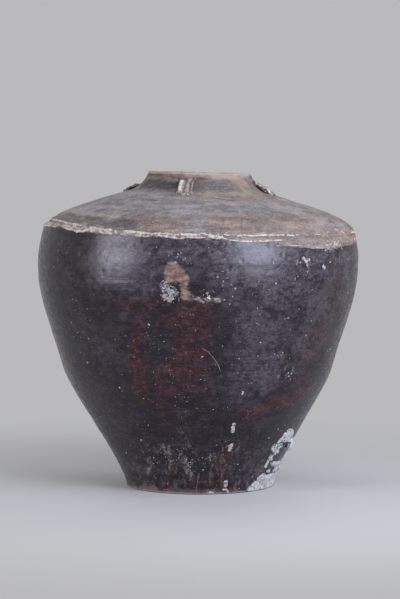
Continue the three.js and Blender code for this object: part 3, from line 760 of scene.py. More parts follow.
def growth(azimuth, distance, rise, wraps=False, sunk=0.3, depth=1.6):
    """A closed body on the wall wherever its rise, in millimetres over a grid of places, is above zero."""
    rise[:, [0, -1]] = -1
    if not wraps:
        rise[[0, -1]] = -1
    high = rise > 0
    kept = (high | np.roll(high, -1, axis=0))[: None if wraps else -1]
    i, j = np.nonzero(without_pinches(kept[:, :-1] | kept[:, 1:], wraps))
    near, far = [column * rise.shape[1] + j for column in (i, (i + 1) % len(rise))]
    used, quads = np.unique(np.stack([near, far, far + 1, near + 1], axis=1), return_inverse=True)
    quads, count = quads.reshape(-1, 4), len(used)
    a, d, h = azimuth.ravel()[used], distance.ravel()[used], rise.ravel()[used]
    points = np.concatenate([on_outside(a, d, np.maximum(h, -sunk)), on_outside(a, d, -depth)])
    edges = np.concatenate([quads[:, [k, (k + 1) % 4]] for k in range(4)])
    keys = edges[:, 0] * count + edges[:, 1]
    alone = edges[~np.isin(keys, edges[:, 1] * count + edges[:, 0])]
    sides = np.stack([alone[:, 1], alone[:, 0], alone[:, 0] + count, alone[:, 1] + count], axis=1)
    faces = np.concatenate([quads, quads[:, ::-1] + count, sides])
    return points, faces, np.concatenate([h, np.full(count, -depth)])


def without_pinches(kept, wraps):
    """Fills cells until no two kept cells meet at a corner alone."""
    for _ in range(4):
        ahead = np.roll(kept, -1, axis=0)
        if not wraps:
            ahead[-1] = False
        here, above = kept[:, :-1], kept[:, 1:]
        there, there_above = ahead[:, :-1], ahead[:, 1:]
        rising = here & there_above & ~there & ~above
        falling = there & above & ~here & ~there_above
        kept = kept.copy()
        kept[:, 1:] |= rising
        kept[:, :-1] |= falling
    return kept


def raised_piece(name, bodies, material):
    """One piece of several bodies, with how far each of its points stands off the wall."""
    points, faces, count = [], [], 0
    for body_points, body_faces, _ in bodies:
        points.append(body_points)
        faces += (body_faces + count).tolist()
        count += len(body_points)
    piece = new_piece(name, settled(np.concatenate(points)), faces, material)
    set_mask(piece, "rise", np.concatenate([rises for _, _, rises in bodies]))
    return piece


def wall_grid(azimuths, rows, cell, room=0.0):
    """Azimuths and distances on a grid of about square cells, with room round the places it is for."""
    d0, d1 = max(0.4, min(rows) - room), max(rows) + room
    room = room / radius_at(rows[0])
    a0, a1 = min(azimuths) - room, max(azimuths) + room
    columns = max(4, int((a1 - a0) * radius_at((d0 + d1) / 2) / cell))
    azimuth = np.linspace(a0, a1, columns + 1)
    distance = np.linspace(d0, d1, max(4, int((d1 - d0) / cell)) + 1)
    return np.meshgrid(azimuth, distance, indexing="ij")


def seam_ridge(material):
    """The rough ridge of slip along the shoulder joint: crests that part and meet, filled between."""
    azimuth = (np.arange(SEAM_COLUMNS) / SEAM_COLUMNS * 2 * np.pi)[:, None]
    low, high = SEAM_REACH
    distance = seam_distance(azimuth) + np.linspace(low, high, int((high - low) / SEAM_CELL) + 1)
    azimuth = np.broadcast_to(azimuth, distance.shape)
    at = on_face(azimuth, distance)
    body = np.zeros(azimuth.shape)
    ragged = waves(at, 7, 61, 3, 0.9)
    worn = 0.45 + 1.1 * lumps(at, (11, 11, 9), 62, 3)
    gaps = 0.35 + 0.65 * smooth(lumps(at, (15, 15, 40), 63, 2), 0.3, 0.46)
    wander = waves(at * (1, 1, 0), 22, 65, 3, 5)
    for share, half, *pixels in SEAM_LINES:
        cover = stroke_share(azimuth, distance, places_in(pixels), half, ragged)
        body = np.maximum(body, share * worn * cover)
    for share, half, *numbers in SEAM_LINES_BEHIND:
        turns = np.radians(numbers[::2])
        places = list(zip(turns, seam_distance(turns) + numbers[1::2]))
        cover = stroke_share(azimuth, distance + wander, places, half, ragged)
        body = np.maximum(body, share * gaps * worn * cover)
    rough = waves(at, 2.6, 66, 2, 1.5) + waves(at, 6, 67, 2)
    rise = SEAM_RISE * body * (1 + rough * 0.45) + rough * 0.6 - 0.6
    piece = raised_piece("shoulder_strip", [growth(azimuth, distance, rise, wraps=True)], material)
    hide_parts("shoulder_strip")


def tube(centre, raised, across, azimuth):
    """Points in rings round a path off the wall, and the quads between them with its two ends."""
    flat = centre[:, None, :] + normals(centre)[:, None, :] * raised[..., None]
    points = turned(flat[..., 0], across, flat[..., 1], azimuth)
    rings, count = points.shape[:2]
    i, j = np.meshgrid(np.arange(rings - 1), np.arange(count), indexing="ij")
    near, far = [i * count + column for column in (j, (j + 1) % count)]
    faces = np.stack([near, far, far + count, near + count], axis=-1).reshape(-1, 4).tolist()
    return points, faces + [list(range(count))[::-1], [(rings - 1) * count + k for k in range(count)]]


def strap_lug(name, azimuth_deg, higher, longer, slant, eye, ribs, broken, roughness, material, slot, seed):
    """A ribbed clay strap from the neck down to the shoulder, its ends pressed onto the wall."""
    top = JAR_HEIGHT - LUG_DEPTH + higher
    ends = [distance_at(top), distance_at(top - LUG_RISE - longer)]
    stations = np.array([ends[0], (ends[0] + ends[1]) / 2, ends[1]])
    places, out = along_line(LINE, stations), along_line(LINE_NORMAL, stations)
    crown = places[1] + out[1] * (eye + LUG_THICKNESS / 2)
    start, _, end = places - out * ROOT_DEPTH
    rise = (crown - (start + end) / 2) / 0.75
    path = curve([start, start + rise, end + rise, end], np.linspace(0, 1, 400))
    run = distances(path)
    u = np.linspace(0, 1, LUG_RINGS)
    centre = np.stack([np.interp(u * run[-1], run, path[:, k]) for k in (0, 1)], axis=1)
    root = np.abs(2 * u - 1) ** 3
    turn = np.linspace(0, 2 * np.pi, LUG_SIDES, endpoint=False)
    side, lift = 0.5 * squared(np.cos(turn), 0.45), squared(np.sin(turn), 0.55)
    ridges = []
    for (place, half), rise_mm, gone in zip(RIBS, ribs, (broken, 0, 0)):
        profile = np.exp(-(((side - place) / half) ** 4)) * np.clip(lift, 0, 1)
        ridges.append(profile * smooth(u, gone - 0.05, gone + 0.05)[:, None])
    ribbed = (smooth(u, 0.04, 0.12) * (1 - smooth(u, 0.74, 0.9)))[:, None]
    rib = np.max([rise_mm * ridge for rise_mm, ridge in zip(ribs, ridges)], axis=0) * ribbed
    rib = rib * (0.7 + 0.4 * np.sin(math.pi * u))[:, None]
    width = LUG_WIDTH * (1 + (LUG_ROOT_SPREAD - 1) * root)
    thick = LUG_THICKNESS * (1 + (LUG_ROOT_THICKENING - 1) * root)
    raised = lift * thick[:, None] / 2 + rib
    across = side * width[:, None] + slant * (u[:, None] - 0.5)
    points, faces = tube(centre, raised, across, math.radians(azimuth_deg))
    rough = shaken(points, 4.5, seed, 2) * roughness * (1 + 1.3 * root)[:, None, None]
    fine = shaken(points, 1.9, seed + 5) * (0.7 + 2.0 * smooth(u, 0.75, 0.9))[:, None, None]
    points = points + rough + fine
    piece = new_piece(name, settled(points.reshape(-1, 3)), faces, material, LUG_CRISP)
    set_mask(piece, "crest", rib / 1.9)
    set_mask(piece, "white", ridges[0] * ribbed)
    set_mask(piece, "foot", np.broadcast_to(smooth(u, 0.7, 0.88)[:, None], raised.shape))
    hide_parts(name)


def lime_crust(material):
    """Lime over one side of the foot: broken plates with dark gaps between them."""
    azimuth, distance = wall_grid(np.radians([-43, 26]), [0.6, 112], 0.8)
    at = on_face(azimuth, distance)
    ragged = waves(at, 6, 51, 3, 7)
    cover = np.zeros(azimuth.shape)
    for (strength, *numbers), wall in seen_and_hidden(CRUST, CRUST_BEHIND):
        plate = inside_share(azimuth, distance, places_in(numbers, wall), 1.6, ragged)
        cover = np.maximum(cover, strength * plate)
    rough = waves(at, 6, 52, 2, 2.0) + waves(at, 1.8, 53, 2, 0.9)
    holes = smooth(lumps(at, 4.5, 54, 2), 0.61, 0.7) * 1.7
    body = growth(azimuth, distance, cover * (2.3 + rough) + rough * 0.3 - holes - 0.8, depth=2.2)
    piece = raised_piece("lime_crust", [body], material)
    set_mask(piece, "tint", smooth(lumps(body[0], 9, 55, 2), 0.62, 0.8) * 0.35)
    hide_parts("lime_crust")


def lime_knob(material):
    """A hooked lump: it leaves the wall, bends down and ends clear of it, with a hollow under it."""
    heights, off = np.array(KNOB_PATH).T
    d = distance_at(heights)
    corners = along_line(LINE, d) + along_line(LINE_NORMAL, d) * off[:, None]
    u = np.linspace(0, 1, KNOB_RINGS)
    radius = ((KNOB_RADIUS - KNOB_TAPER * u) * np.sqrt(np.clip(1 - u**9, 0.02, 1)))[:, None]
    turn = np.linspace(0, 2 * np.pi, KNOB_SIDES, endpoint=False)
    across = -radius * np.sin(turn) * KNOB_SPREAD
    points, faces = tube(curve(corners, u), radius * np.cos(turn), across, KNOB_AZIMUTH)
    points = (points + shaken(points, 5, 91, 3) * KNOB_ROUGHNESS).reshape(-1, 3)
    piece = new_piece("lime_knob", settled(points), [face[::-1] for face in faces], material)
    set_mask(piece, "rise", np.ones(len(points)))
    set_mask(piece, "tint", np.zeros(len(points)))
    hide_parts("lime_knob")


def spot_body(rise_mm, radius, places, seed):
    """A small raised spot or trail of lime."""
    azimuth, distance = wall_grid(*zip(*places), max(0.28, radius / 7), radius * 1.9)
    at = on_face(azimuth, distance)
    cover = stroke_share(azimuth, distance, places, radius, waves(at, radius * 1.1, seed, 3, 1.3))
    rough = waves(at, max(1.1, radius * 0.35), seed + 1, 2)
    rise = cover * rise_mm * (1.25 + rough) + rough * rise_mm * 0.9 - rise_mm * 0.45
    return growth(azimuth, distance, rise, sunk=0.15, depth=0.9)


def scar_body():
    """The white mottled scar: islands of lime with dark pits between them."""
    corners = places_in(SCAR)
    azimuths, rows = np.array(corners).T
    azimuth, distance = wall_grid((azimuths.min() - 0.03, azimuths.max() + 0.03),
                                  (rows.min() - 6, rows.max() + 6), 0.55)
    at = on_face(azimuth, distance)
    cover = inside_share(azimuth, distance, corners, 2.0, waves(at, 6, 71, 3, 8))
    right = smooth(azimuth, *[places_in(pixel)[0][0] for pixel in SCAR_TURN])
    pits = lumps(at, 2.6, 72, 2) * 0.55 + lumps(at, 5.5, 74, 2) * 0.45
    pits = smooth(pits, 0.46 - 0.14 * right, 0.52 - 0.14 * right)
    rise = cover * (0.95 - 1.3 * pits) + waves(at, 1.5, 73, 2, 0.7) - 0.4
    return growth(azimuth, distance, rise, sunk=0.15, depth=1.0)


def lime_spots(material):
    """The scar, drips, splashes and scratches of lime on the wall."""
    bodies, tints = [scar_body()], [0.22]
    rows = seen_and_hidden(SPOTS, SPOTS_BEHIND)
    for number, ((rise_mm, radius, tint, *numbers), wall) in enumerate(rows):
        bodies.append(spot_body(rise_mm, radius, places_in(numbers, wall), 200 + 5 * number))
        tints.append(tint)
    piece = raised_piece("lime_spots", bodies, material)
    sizes = [len(points) for points, _, _ in bodies]
    set_mask(piece, "tint", np.repeat(tints, sizes))
    set_mask(piece, "aged", np.arange(sum(sizes)) < sizes[0])


def grain_places(rng):
    """Azimuth, distance and size of each grain: some all over the wall, others in clusters."""
    places = []
    while len(places) < GRAINS:
        azimuth = rng.uniform(-math.pi, math.pi)
        height = rng.uniform(*GRAIN_HEIGHTS)
        size = rng.lognormal(*GRAIN_SIZE)
        thick = lumps(np.array([[azimuth * 200, height, 0.0]]), 60, 31, 2)[0]
        if rng.uniform() < smooth(thick, 0.3, 0.75):
            places.append((azimuth, float(distance_at(height)), min(size, 1.4)))
    for x, y, spread, count in CLUSTERS:
        azimuth, distance = places_in((x, y))[0]
        radius = radius_at(distance)
        for _ in range(count):
            turn = azimuth + rng.normal(0, spread) / radius
            up = max(2.0, distance + rng.normal(0, spread))
            places.append((turn, up, min(rng.lognormal(*GRAIN_SIZE), 1.5)))
    return places


def lime_grains(material):
    """Hundreds of small grains of lime and grit stuck to the glaze."""
    rng = np.random.default_rng(GRAIN_SEED)
    places = grain_places(rng)
    bm = bmesh.new()
    bmesh.ops.create_icosphere(bm, subdivisions=2, radius=1.0)
    ball = np.array([v.co[:] for v in bm.verts])
    ball_faces = np.array([[v.index for v in f.verts] for f in bm.faces])
    bm.free()
    bodies, tints = [], []
    for azimuth, distance, size in places:
        squash = np.array([rng.uniform(0.7, 1.4), rng.uniform(0.7, 1.3), rng.uniform(0.45, 0.8)]) * size
        shape = ball * squash * (0.75 + 0.5 * lumps(ball + len(bodies) * 3.1, 0.9, 33, 2))[:, None]
        spin = rng.uniform(0, 2 * math.pi)
        side = shape[:, 0] * math.cos(spin) - shape[:, 1] * math.sin(spin)
        up = shape[:, 0] * math.sin(spin) + shape[:, 1] * math.cos(spin)
        line, normal = along_line(LINE, distance), along_line(LINE_NORMAL, distance)
        out = relief(np.array([azimuth]), np.array([distance]))[0] + size * 0.1 + shape[:, 2]
        flat_r = line[0] + normal[0] * out - normal[1] * up
        flat_z = line[1] + normal[1] * out + normal[0] * up
        rises = np.full(len(ball), rng.uniform(-0.1, 0.8))
        bodies.append((turned(flat_r, side, flat_z, azimuth), ball_faces, rises))
        tints.append(rng.choice([0.0, 0.0, 0.1, 0.5, 0.9]))
    piece = raised_piece("lime_grains", bodies, material)
    set_mask(piece, "tint", np.repeat(tints, len(ball)))


# Materials

class Tree:
    """Adds to a node tree: numbers, colours and sockets go in, and a socket comes out."""

    def __init__(self, tree):
        self.tree = tree

    def feed(self, socket, value):
        if isinstance(value, bpy.types.NodeSocket):
            self.tree.links.new(value, socket)
        elif isinstance(value, tuple) and len(value) == 3 and socket.type == "RGBA":
            socket.default_value = (*value, 1)
        else:
            socket.default_value = value

    def node(self, kind, output, inputs, **settings):
        node = self.tree.nodes.new("ShaderNode" + kind)
        for key, value in settings.items():
            setattr(node, key, value)
        for key, value in inputs.items():
            self.feed(node.inputs[key], value)
        return node.outputs[output]

    def math(self, operation, a, b=0.0, clamp=False):
        return self.node("Math", 0, {0: a, 1: b}, operation=operation, use_clamp=clamp)

    def times(self, value, *others):
        for other in others:
            value = self.math("MULTIPLY", value, other)
        return value


class Shader(Tree):
    """Builds a material on the mesh's own coordinates."""

    def __init__(self, name):
        self.material = bpy.data.materials.new(name)
        self.material.use_nodes = True
        super().__init__(self.material.node_tree)
        self.surface = self.tree.nodes["Principled BSDF"]
        self.place = self.node("TexCoord", "Object", {})

    def moved(self, size, stretch, seed):
        """The place in cells about size metres across, drawn out along an axis by its stretch."""
        scale = tuple(1 / (size * s) for s in stretch)
        place = {"Vector": self.place, "Scale": scale, "Location": (seed, seed * 2, seed * 3)}
        return self.node("Mapping", 0, place)

    def noise(self, size, stretch, detail, seed, roughness=0.55):
        cells = {"Vector": self.moved(size, stretch, seed), "Scale": 1.0}
        return self.node("TexNoise", 0, {**cells, "Detail": detail, "Roughness": roughness})

    def spots(self, size, seed):
        """Distance to the nearest of scattered points, in cells, and a random number for its cell."""
        cells = {"Vector": self.moved(size, (1, 1, 1), seed), "Scale": 1.0}
        near = self.node("TexVoronoi", "Distance", cells)
        return near, near.node.outputs["Color"]

    def ramp(self, value, low, high, to_low=0.0, to_high=1.0):
        """The value's range from low to high stretched smoothly over another range."""
        inputs = {"Value": value, "From Min": low, "From Max": high, "To Min": to_low, "To Max": to_high}
        return self.node("MapRange", 0, inputs, interpolation_type="SMOOTHSTEP")

    def mix(self, share, a, b):
        return self.node("Mix", 2, {0: share, 6: a, 7: b}, data_type="RGBA", blend_type="MIX")

    def layered(self, colour, *layers):
        """A colour under others, each coming on as its noise goes from low to high, up to a share."""
        for value, low, high, share, paint_colour in layers:
            colour = self.mix(self.ramp(value, low, high, 0.0, share), colour, paint_colour)
        return colour

    def mask(self, name):
        return self.node("Attribute", 2, {}, attribute_name=name, attribute_type="GEOMETRY")

    def broken(self, name, noise, low=0.45, high=0.6, weight=1.0):
        """A mask whose edge follows a noise."""
        spread = {0: noise, 1: weight, 2: -0.5 * weight}
        spread = self.node("Math", 0, spread, operation="MULTIPLY_ADD")
        return self.ramp(self.math("ADD", self.mask(name), spread), low, high)

    def soft(self, name, noise, weight=0.5):
        """A mask with a wide edge that a noise breaks up."""
        return self.broken(name, noise, 0.1, 0.95, weight)

    def finish(self, colour, roughness, height, bump=0.6, distance=0.0004, specular=0.5):
        normal = self.node("Bump", 0, {"Height": height, "Strength": bump, "Distance": distance})
        for name, value in (("Base Color", colour), ("Roughness", roughness), ("Normal", normal)):
            self.feed(self.surface.inputs[name], value)
        self.surface.inputs["Specular IOR Level"].default_value = specular
        return self.material


GLOSS = 0.44
SHEEN = (0.88, 0.89, 1.0)
GLAZE_DEEP = (0.0045, 0.002, 0.0038)
GLAZE_HAZE = (0.0215, 0.013, 0.02)
GLAZE_LIGHT = (0.075, 0.059, 0.07)
GLAZE_PALE = (0.076, 0.06, 0.08)
IRON_DARK = (0.019, 0.0028, 0.005)
IRON_BRIGHT = (0.074, 0.0165, 0.011)
WORN_GREY = (0.185, 0.176, 0.19)
WORN_TAN = (0.245, 0.173, 0.132)
WORN_DARK = (0.062, 0.051, 0.054)
WORN_PALE = (0.37, 0.325, 0.31)
BARE_RED = (0.082, 0.041, 0.032)
BARE_PALE = (0.215, 0.147, 0.113)
FOOT_DUST = (0.15, 0.128, 0.128)
FOOT_CLAY = (0.135, 0.103, 0.099)
RIM_PALE = (0.36, 0.28, 0.235)
LIME_WHITE = (0.5, 0.515, 0.535)
LIME_DULL = (0.25, 0.25, 0.26)
LIME_DARK = (0.085, 0.08, 0.082)
SCAR_GREY = (0.1, 0.105, 0.093)
SCAR_PALE = (0.33, 0.335, 0.31)
TAN = (0.125, 0.07, 0.05)
TAN_PALE = (0.265, 0.188, 0.158)
NECK_TAN = (0.3, 0.198, 0.14)
SLIP = (0.3, 0.25, 0.225)
SEAM_PALE = (0.54, 0.49, 0.44)
SEAM_DARK = (0.135, 0.104, 0.094)
LUG_TAN = (0.25, 0.185, 0.16)
LUG_GREY = (0.23, 0.208, 0.208)
LUG_PALE = (0.6, 0.57, 0.54)
LUG_GROOVE = (0.045, 0.034, 0.032)
SOOT_AND_SHADE = (0.0065, 0.0048, 0.0062)
WITHIN_DARK = (0.05, 0.036, 0.034)
WITHIN_PALE = (0.11, 0.082, 0.074)
EVEN = (1, 1, 1)


def wall_material(name):
    """Dark glaze, worn shoulder, bare clay, deposits and the inside, wherever the masks say."""
    s = Shader(name)
    level = s.noise(0.004, (22, 22, 1), 3, 1)
    level_wide = s.noise(0.011, (26, 26, 1), 3, 2)
    clouds = s.noise(0.05, (1.3, 1.3, 0.8), 4, 3)
    mottle = s.noise(0.009, (1.2, 1.2, 0.9), 4, 4, 0.65)
    grain = s.noise(0.0022, EVEN, 3, 5, 0.7)
    runs = s.noise(0.006, (1, 1, 9), 3, 6)
    dust = s.noise(0.0048, (1, 1, 2), 4, 7, 0.7)
    lines = s.noise(0.0014, (34, 34, 1), 2, 10)
    blotch = s.noise(0.0055, (1.6, 1.6, 0.7), 3, 11, 0.6)
    drift = s.noise(0.016, (3.5, 3.5, 0.9), 3, 12, 0.6)
    drift_fine = s.noise(0.006, (6, 6, 1), 3, 13, 0.6)
    patch = s.noise(0.017, (1.5, 1.5, 0.9), 3, 14, 0.6)
    height = s.node("SeparateXYZ", 2, {0: s.place})

    # Glaze
    haze_and_painted_sheen = s.times(s.ramp(clouds, 0.38, 0.62), s.ramp(mottle, 0.35, 0.62, 0.2, 1.0))
    colour = s.mix(haze_and_painted_sheen, GLAZE_DEEP, GLAZE_HAZE)
    colour = s.layered(colour, (level, 0.47, 0.66, 0.5, GLAZE_HAZE))
    # The lighter glaze marks: partly lighter tone, partly painted sheen and painted light
    haze_and_painted_sheen = s.times(s.soft("haze_and_painted_sheen", clouds, 0.9), s.ramp(mottle, 0.36, 0.62, 0.5, 1.0))
    haze_and_painted_sheen = s.times(haze_and_painted_sheen, s.ramp(level_wide, 0.38, 0.56, 0.6, 1.0))
    colour = s.mix(haze_and_painted_sheen, colour, GLAZE_PALE)
    fine = s.times(s.ramp(lines, 0.5, 0.68, 0.0, 0.3), s.ramp(clouds, 0.38, 0.56))
    colour = s.mix(fine, colour, GLAZE_LIGHT)
    iron = s.broken("iron", clouds, 0.15, 0.85, 0.9)
    reddish = s.mix(s.ramp(mottle, 0.4, 0.62), IRON_DARK, IRON_BRIGHT)
    colour = s.mix(s.times(iron, 0.9), colour, reddish)
    near_foot = s.ramp(height, 0.12, 0.02)
    streak = s.times(near_foot, s.ramp(runs, 0.48, 0.62), s.ramp(mottle, 0.4, 0.6, 0.15, 0.7))
    colour = s.mix(streak, colour, FOOT_DUST)
    colour = s.mix(s.times(near_foot, s.ramp(runs, 0.46, 0.34), 0.8), colour, SOOT_AND_SHADE)
    colour = s.layered(
        colour,
        (patch, 0.48, 0.36, 0.75, SOOT_AND_SHADE), (patch, 0.54, 0.68, 0.3, GLAZE_LIGHT),
        (blotch, 0.48, 0.38, 0.6, SOOT_AND_SHADE), (blotch, 0.55, 0.68, 0.4, GLAZE_LIGHT),
        (grain, 0.5, 0.36, 0.8, SOOT_AND_SHADE), (grain, 0.57, 0.7, 0.6, GLAZE_LIGHT),
    )

    # Worn shoulder
    worn = s.broken("worn", mottle, 0.42, 0.62, 0.5)
    warm = s.math("ADD", s.mask("warm"), s.ramp(drift, 0.4, 0.6, -0.45, 0.45), clamp=True)
    tone = s.layered(
        s.mix(warm, WORN_GREY, WORN_TAN),
        (level_wide, 0.5, 0.64, 0.5, WORN_DARK), (level_wide, 0.47, 0.37, 0.4, WORN_PALE),
        (drift_fine, 0.52, 0.62, 0.5, WORN_DARK), (drift_fine, 0.46, 0.36, 0.35, WORN_PALE),
        (clouds, 0.5, 0.36, 0.4, WORN_DARK),
        (mottle, 0.52, 0.66, 0.5, WORN_DARK), (mottle, 0.46, 0.34, 0.45, WORN_PALE),
        (grain, 0.54, 0.68, 0.6, WORN_PALE), (grain, 0.48, 0.36, 0.7, WORN_DARK),
        (height, 0.477, 0.490, 0.5, WORN_DARK),
    )
    colour = s.mix(worn, colour, tone)

    # Bare clay at the lip and the foot
    # Pale marks: pale clay, and painted light on the lit right of the lip and the shoulder
    pale = s.soft("pale", mottle)
    bare = s.broken("bare", mottle, 0.2, 0.85, 1.6)
    clay = s.layered(BARE_RED, (mottle, 0.42, 0.64, 0.5, BARE_PALE))
    clay = s.mix(s.times(pale, s.ramp(drift_fine, 0.4, 0.58, 0.3, 1.0)), clay, BARE_PALE)
    foot_clay = s.layered(FOOT_CLAY, (mottle, 0.42, 0.62, 0.8, GLAZE_HAZE))
    foot_clay = s.mix(s.times(pale, s.ramp(grain, 0.42, 0.58)), foot_clay, WORN_TAN)
    clay = s.layered(foot_clay, (height, 0.05, 0.06, 1.0, clay), (grain, 0.5, 0.75, 0.5, WORN_DARK))
    colour = s.mix(s.times(bare, s.ramp(height, 0.05, 0.06, 0.8, 0.9)), colour, clay)
    colour = s.mix(s.times(s.mask("rim"), s.ramp(mottle, 0.3, 0.6, 0.55, 1.0)), colour, RIM_PALE)
    colour = s.mix(s.times(pale, worn, 0.6), colour, WORN_PALE)

    # Deposits and dirt, with the painted shade, shadows and light that share some of their marks
    speckled = s.math("ADD", s.times(blotch, 0.6), s.times(grain, 0.4))
    tan = s.soft("tan", speckled, 1.2)
    tan_colour = s.mix(worn, s.mix(s.ramp(speckled, 0.44, 0.57), TAN, TAN_PALE), NECK_TAN)
    lime = s.broken("lime", grain, 0.45, 0.62, 0.9)
    chalk = s.mix(s.ramp(grain, 0.35, 0.65), LIME_DULL, LIME_WHITE)
    speck_place, speck_kind = s.spots(0.0085, 8)
    speck = s.math("SUBTRACT", s.ramp(speck_kind, 0.4, 1.0, 0.0, 0.14), speck_place)
    pit_place, pit_kind = s.spots(0.006, 9)
    pit = s.math("LESS_THAN", pit_place, s.ramp(pit_kind, 0.5, 1.0, 0.0, 0.16))
    for cover, strength, paint_colour in (
        (tan, 0.85, tan_colour),
        (s.times(pale, tan), 0.6, WORN_PALE),
        (s.broken("film", dust, 0.5, 1.15, 3.2), 0.6, LIME_DULL),
        (s.broken("slip", mottle, 0.45, 0.75, 0.8), 0.6, SLIP),
        # Soot and dark streaks, and the painted shade and shadows laid with the same marks
        (s.soft("soot", mottle, 0.6), 0.85, SOOT_AND_SHADE),
        (lime, 0.8, chalk),
        (s.ramp(speck, 0.0, 0.03), 0.7, LIME_DULL),
        (pit, 0.8, SOOT_AND_SHADE),
    ):
        colour = s.mix(s.times(cover, strength), colour, paint_colour)

    # Inside
    within = s.mask("within")
    colour = s.mix(within, colour, s.mix(s.ramp(level_wide, 0.35, 0.65), WITHIN_DARK, WITHIN_PALE))

    rough = s.ramp(mottle, 0.35, 0.65, 0.2, 0.38)
    for cover, strength in ((worn, 0.78), (bare, 0.85), (lime, 0.9), (tan, 0.8), (within, 0.8)):
        rough = s.math("MAXIMUM", rough, s.times(cover, strength))
    bumps = s.times(level, 0.5)
    for value, strength in ((grain, 0.45), (lines, 0.35), (pit, -0.6), (lime, 0.4)):
        bumps = s.math("ADD", bumps, s.times(value, strength))
    s.surface.inputs["Specular Tint"].default_value = (*SHEEN, 1)
    return s.finish(colour, rough, bumps, 0.45, 0.0006, GLOSS)


def slip_material():
    """The slip of the shoulder joint: pale where it stands high, darker in its hollows."""
    s = Shader("pale_slip")
    grain = s.noise(0.0016, EVEN, 3, 21, 0.7)
    patches = s.noise(0.006, (1.4, 1.4, 0.8), 3, 22)
    pale = s.times(s.ramp(s.mask("rise"), 0.0, 1.35), s.ramp(patches, 0.3, 0.55, 0.4, 1.0))
    colour = s.layered(s.mix(pale, SEAM_DARK, SEAM_PALE), (grain, 0.5, 0.72, 0.55, SEAM_DARK))
    return s.finish(colour, 0.88, grain)


def lime_material():
    """Lime: white where it stands out, grey in its hollows, brown where a piece is tinted."""
    s = Shader("lime")
    grain = s.noise(0.0013, EVEN, 3, 23, 0.7)
    patches = s.noise(0.005, EVEN, 3, 24, 0.6)
    white = s.times(s.ramp(patches, 0.3, 0.55, 0.4, 1.0), s.ramp(s.mask("rise"), -0.1, 0.8, 0.45, 1.0))
    colour = s.layered(
        s.mix(white, LIME_DULL, LIME_WHITE),
        (grain, 0.5, 0.66, 0.7, LIME_DULL), (patches, 0.47, 0.36, 0.75, LIME_DARK),
    )
    scar = s.mix(s.ramp(patches, 0.38, 0.6), SCAR_PALE, SCAR_GREY)
    colour = s.mix(s.times(s.mask("aged"), 0.8), colour, scar)
    colour = s.mix(s.mask("tint"), colour, s.mix(s.ramp(grain, 0.4, 0.65), TAN, TAN_PALE))
    return s.finish(colour, 0.9, grain)


def lug_material():
    """The clay of the lugs: dark grooves, worn ribs, one of them chalky, and a pale foot."""
    s = Shader("lug_clay")
    grain = s.noise(0.0016, EVEN, 3, 25, 0.7)
    patches = s.noise(0.006, (1, 1, 1.6), 3, 26, 0.6)
    crest, white, foot = [s.mask(name) for name in ("crest", "white", "foot")]
    colour = s.layered(LUG_TAN, (patches, 0.4, 0.6, 1.0, LUG_GREY), (crest, 0.35, 0.05, 0.8, LUG_GROOVE))
    worn = s.times(s.ramp(crest, 0.45, 0.85), s.ramp(patches, 0.4, 0.6, 0.2, 0.8))
    chalk = s.times(s.ramp(white, 0.45, 0.85), s.ramp(patches, 0.35, 0.55, 0.45, 1.0))
    clay = s.times(foot, s.ramp(patches, 0.42, 0.58, 0.1, 1.0))
    for cover, paint_colour in ((worn, WORN_PALE), (chalk, LUG_PALE), (clay, WORN_PALE)):
        colour = s.mix(cover, colour, paint_colour)
    return s.finish(s.layered(colour, (grain, 0.5, 0.7, 0.5, LUG_GROOVE)), 0.8, grain, 0.5)


glaze = wall_material("dark_glaze")
worn_glaze = wall_material("worn_glaze")
bare_clay = wall_material("bare_clay")
lime = lime_material()
lug_clay = lug_material()

foot, lip = [joint(distance_at(z), distance_at(z, LINE_INSIDE)) for z in (FLOOR_THICKNESS, LIP_TURN)]
waist, neck = [joint(distance_at(z)) for z in (WAIST_HEIGHT, NECK_JOINT)]
seam = joint(seam_distance(TURNS))

base_piece(bare_clay)
wall_piece("lower_wall", foot, waist, 76, 18, glaze)
wall_piece("upper_wall", waist, seam, 98, 22, glaze)
wall_piece("shoulder", seam, neck, 72, 18, worn_glaze)
wall_piece("neck", neck, lip, 28, 14, bare_clay, lip=True)
seam_ridge(slip_material())
for number, lug in enumerate(LUGS):
    strap_lug(*lug, lug_clay, "bare_clay", 80 + 10 * number)
lime_crust(lime)
lime_knob(lime)
lime_spots(lime)
lime_grains(lime)


# Floor, lamps, background and camera

FLOOR_RADIUS = 7.0
FLOOR_FADES = (0.2, 1.0)
BACKGROUND = (0.49, 0.49, 0.5)
FLOOR = (0.53, 0.53, 0.54)
AMBIENT = 0.12
LAMP_AIM = Vector((0, 0, 0.36))
# Name, azimuth from the camera's to the right, elevation, distance, width, height, power and colour
LAMPS = (
    ("right_lamp", 39, 15, 1.8, 0.98, 1.15, 37, (0.86, 0.90, 1.0)),
    ("left_lamp", -57, 9, 1.8, 0.8, 0.92, 20, (0.95, 0.94, 1.0)),
    ("high_lamp", 40, 46, 1.7, 1.2, 0.5, 7, (0.88, 0.91, 1.0)),
    ("back_right_lamp", 140, 46, 1.8, 1.2, 0.9, 9, (0.97, 0.98, 1.0)),
    ("back_left_lamp", -140, 46, 1.8, 1.2, 0.9, 9, (0.97, 0.98, 1.0)),
)


def seen_share(t):
    """1 for rays that see the background, straight, mirrored or through glass, and 0 for its light."""
    share = t.node("LightPath", "Is Camera Ray", {})
    path = share.node
    for name in ("Is Glossy Ray", "Is Transmission Ray"):
        share = t.math("MAXIMUM", share, path.outputs[name])
    return share


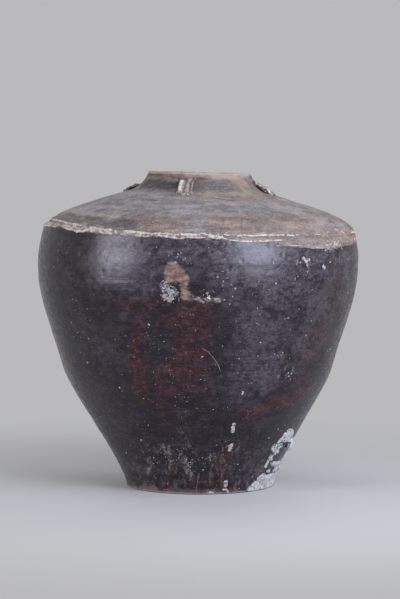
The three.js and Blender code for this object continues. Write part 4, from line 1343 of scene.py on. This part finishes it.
def pale_floor():
    """A pale disc that fades into the background away from the jar."""
    bm = bmesh.new()
    bmesh.ops.create_circle(bm, cap_ends=True, segments=96, radius=FLOOR_RADIUS)
    mesh = bpy.data.meshes.new("floor")
    bm.to_mesh(mesh)
    bm.free()
    floor = new_object("floor", mesh)
    s = Shader("floor")
    for name, value in (("Base Color", FLOOR), ("Roughness", 0.9), ("Specular IOR Level", 0.2)):
        s.feed(s.surface.inputs[name], value)
    away = s.node("VectorMath", "Value", {0: s.place}, operation="LENGTH")
    share = s.times(s.ramp(away, *FLOOR_FADES), seen_share(s))
    far = s.node("Emission", 0, {"Color": BACKGROUND, "Strength": 1.0})
    mixed = s.node("MixShader", 0, {0: share, 1: s.surface.outputs[0], 2: far})
    s.feed(s.tree.nodes["Material Output"].inputs["Surface"], mixed)
    mesh.materials.append(s.material)


def background():
    """Pale where it is seen, straight or mirrored, and dimmer as a light."""
    world = bpy.data.worlds.new("studio")
    bpy.context.scene.world = world
    world.use_nodes = True
    t = Tree(world.node_tree)
    light = t.tree.nodes["Background"]
    t.feed(light.inputs["Color"], EVEN)
    t.feed(light.inputs["Strength"], AMBIENT)
    seen = t.node("Background", 0, {"Color": BACKGROUND, "Strength": 1.0})
    mixed = t.node("MixShader", 0, {0: seen_share(t), 1: light.outputs[0], 2: seen})
    t.feed(t.tree.nodes["World Output"].inputs["Surface"], mixed)


def lamp(name, azimuth, elevation, distance, width, height, power, colour):
    """A soft rectangular lamp."""
    turn = CAMERA_AZIMUTH + math.radians(azimuth)
    tilt = math.radians(elevation)
    towards = Vector((math.cos(turn) * math.cos(tilt), math.sin(turn) * math.cos(tilt), math.sin(tilt)))
    data = bpy.data.lights.new(name, "AREA")
    data.shape = "RECTANGLE"
    data.size, data.size_y = width, height
    data.energy, data.color = power, colour
    light = new_object(name, data)
    light.location = LAMP_AIM + towards * distance
    light.rotation_euler = towards.to_track_quat("Z", "Y").to_euler()


def photo_camera():
    place, forward, _, _ = camera_axes()
    data = bpy.data.cameras.new("camera")
    data.sensor_width = SENSOR_WIDTH
    data.lens = PHOTO_LENS / PHOTO_SIZE[1] * SENSOR_WIDTH
    camera = new_object("camera", data)
    camera.location = place
    camera.rotation_euler = (-forward).to_track_quat("Z", "Y").to_euler()
    bpy.context.scene.camera = camera


pale_floor()
background()
for lamp_row in LAMPS:
    lamp(*lamp_row)
photo_camera()
bpy.context.scene.view_settings.view_transform = "Standard"
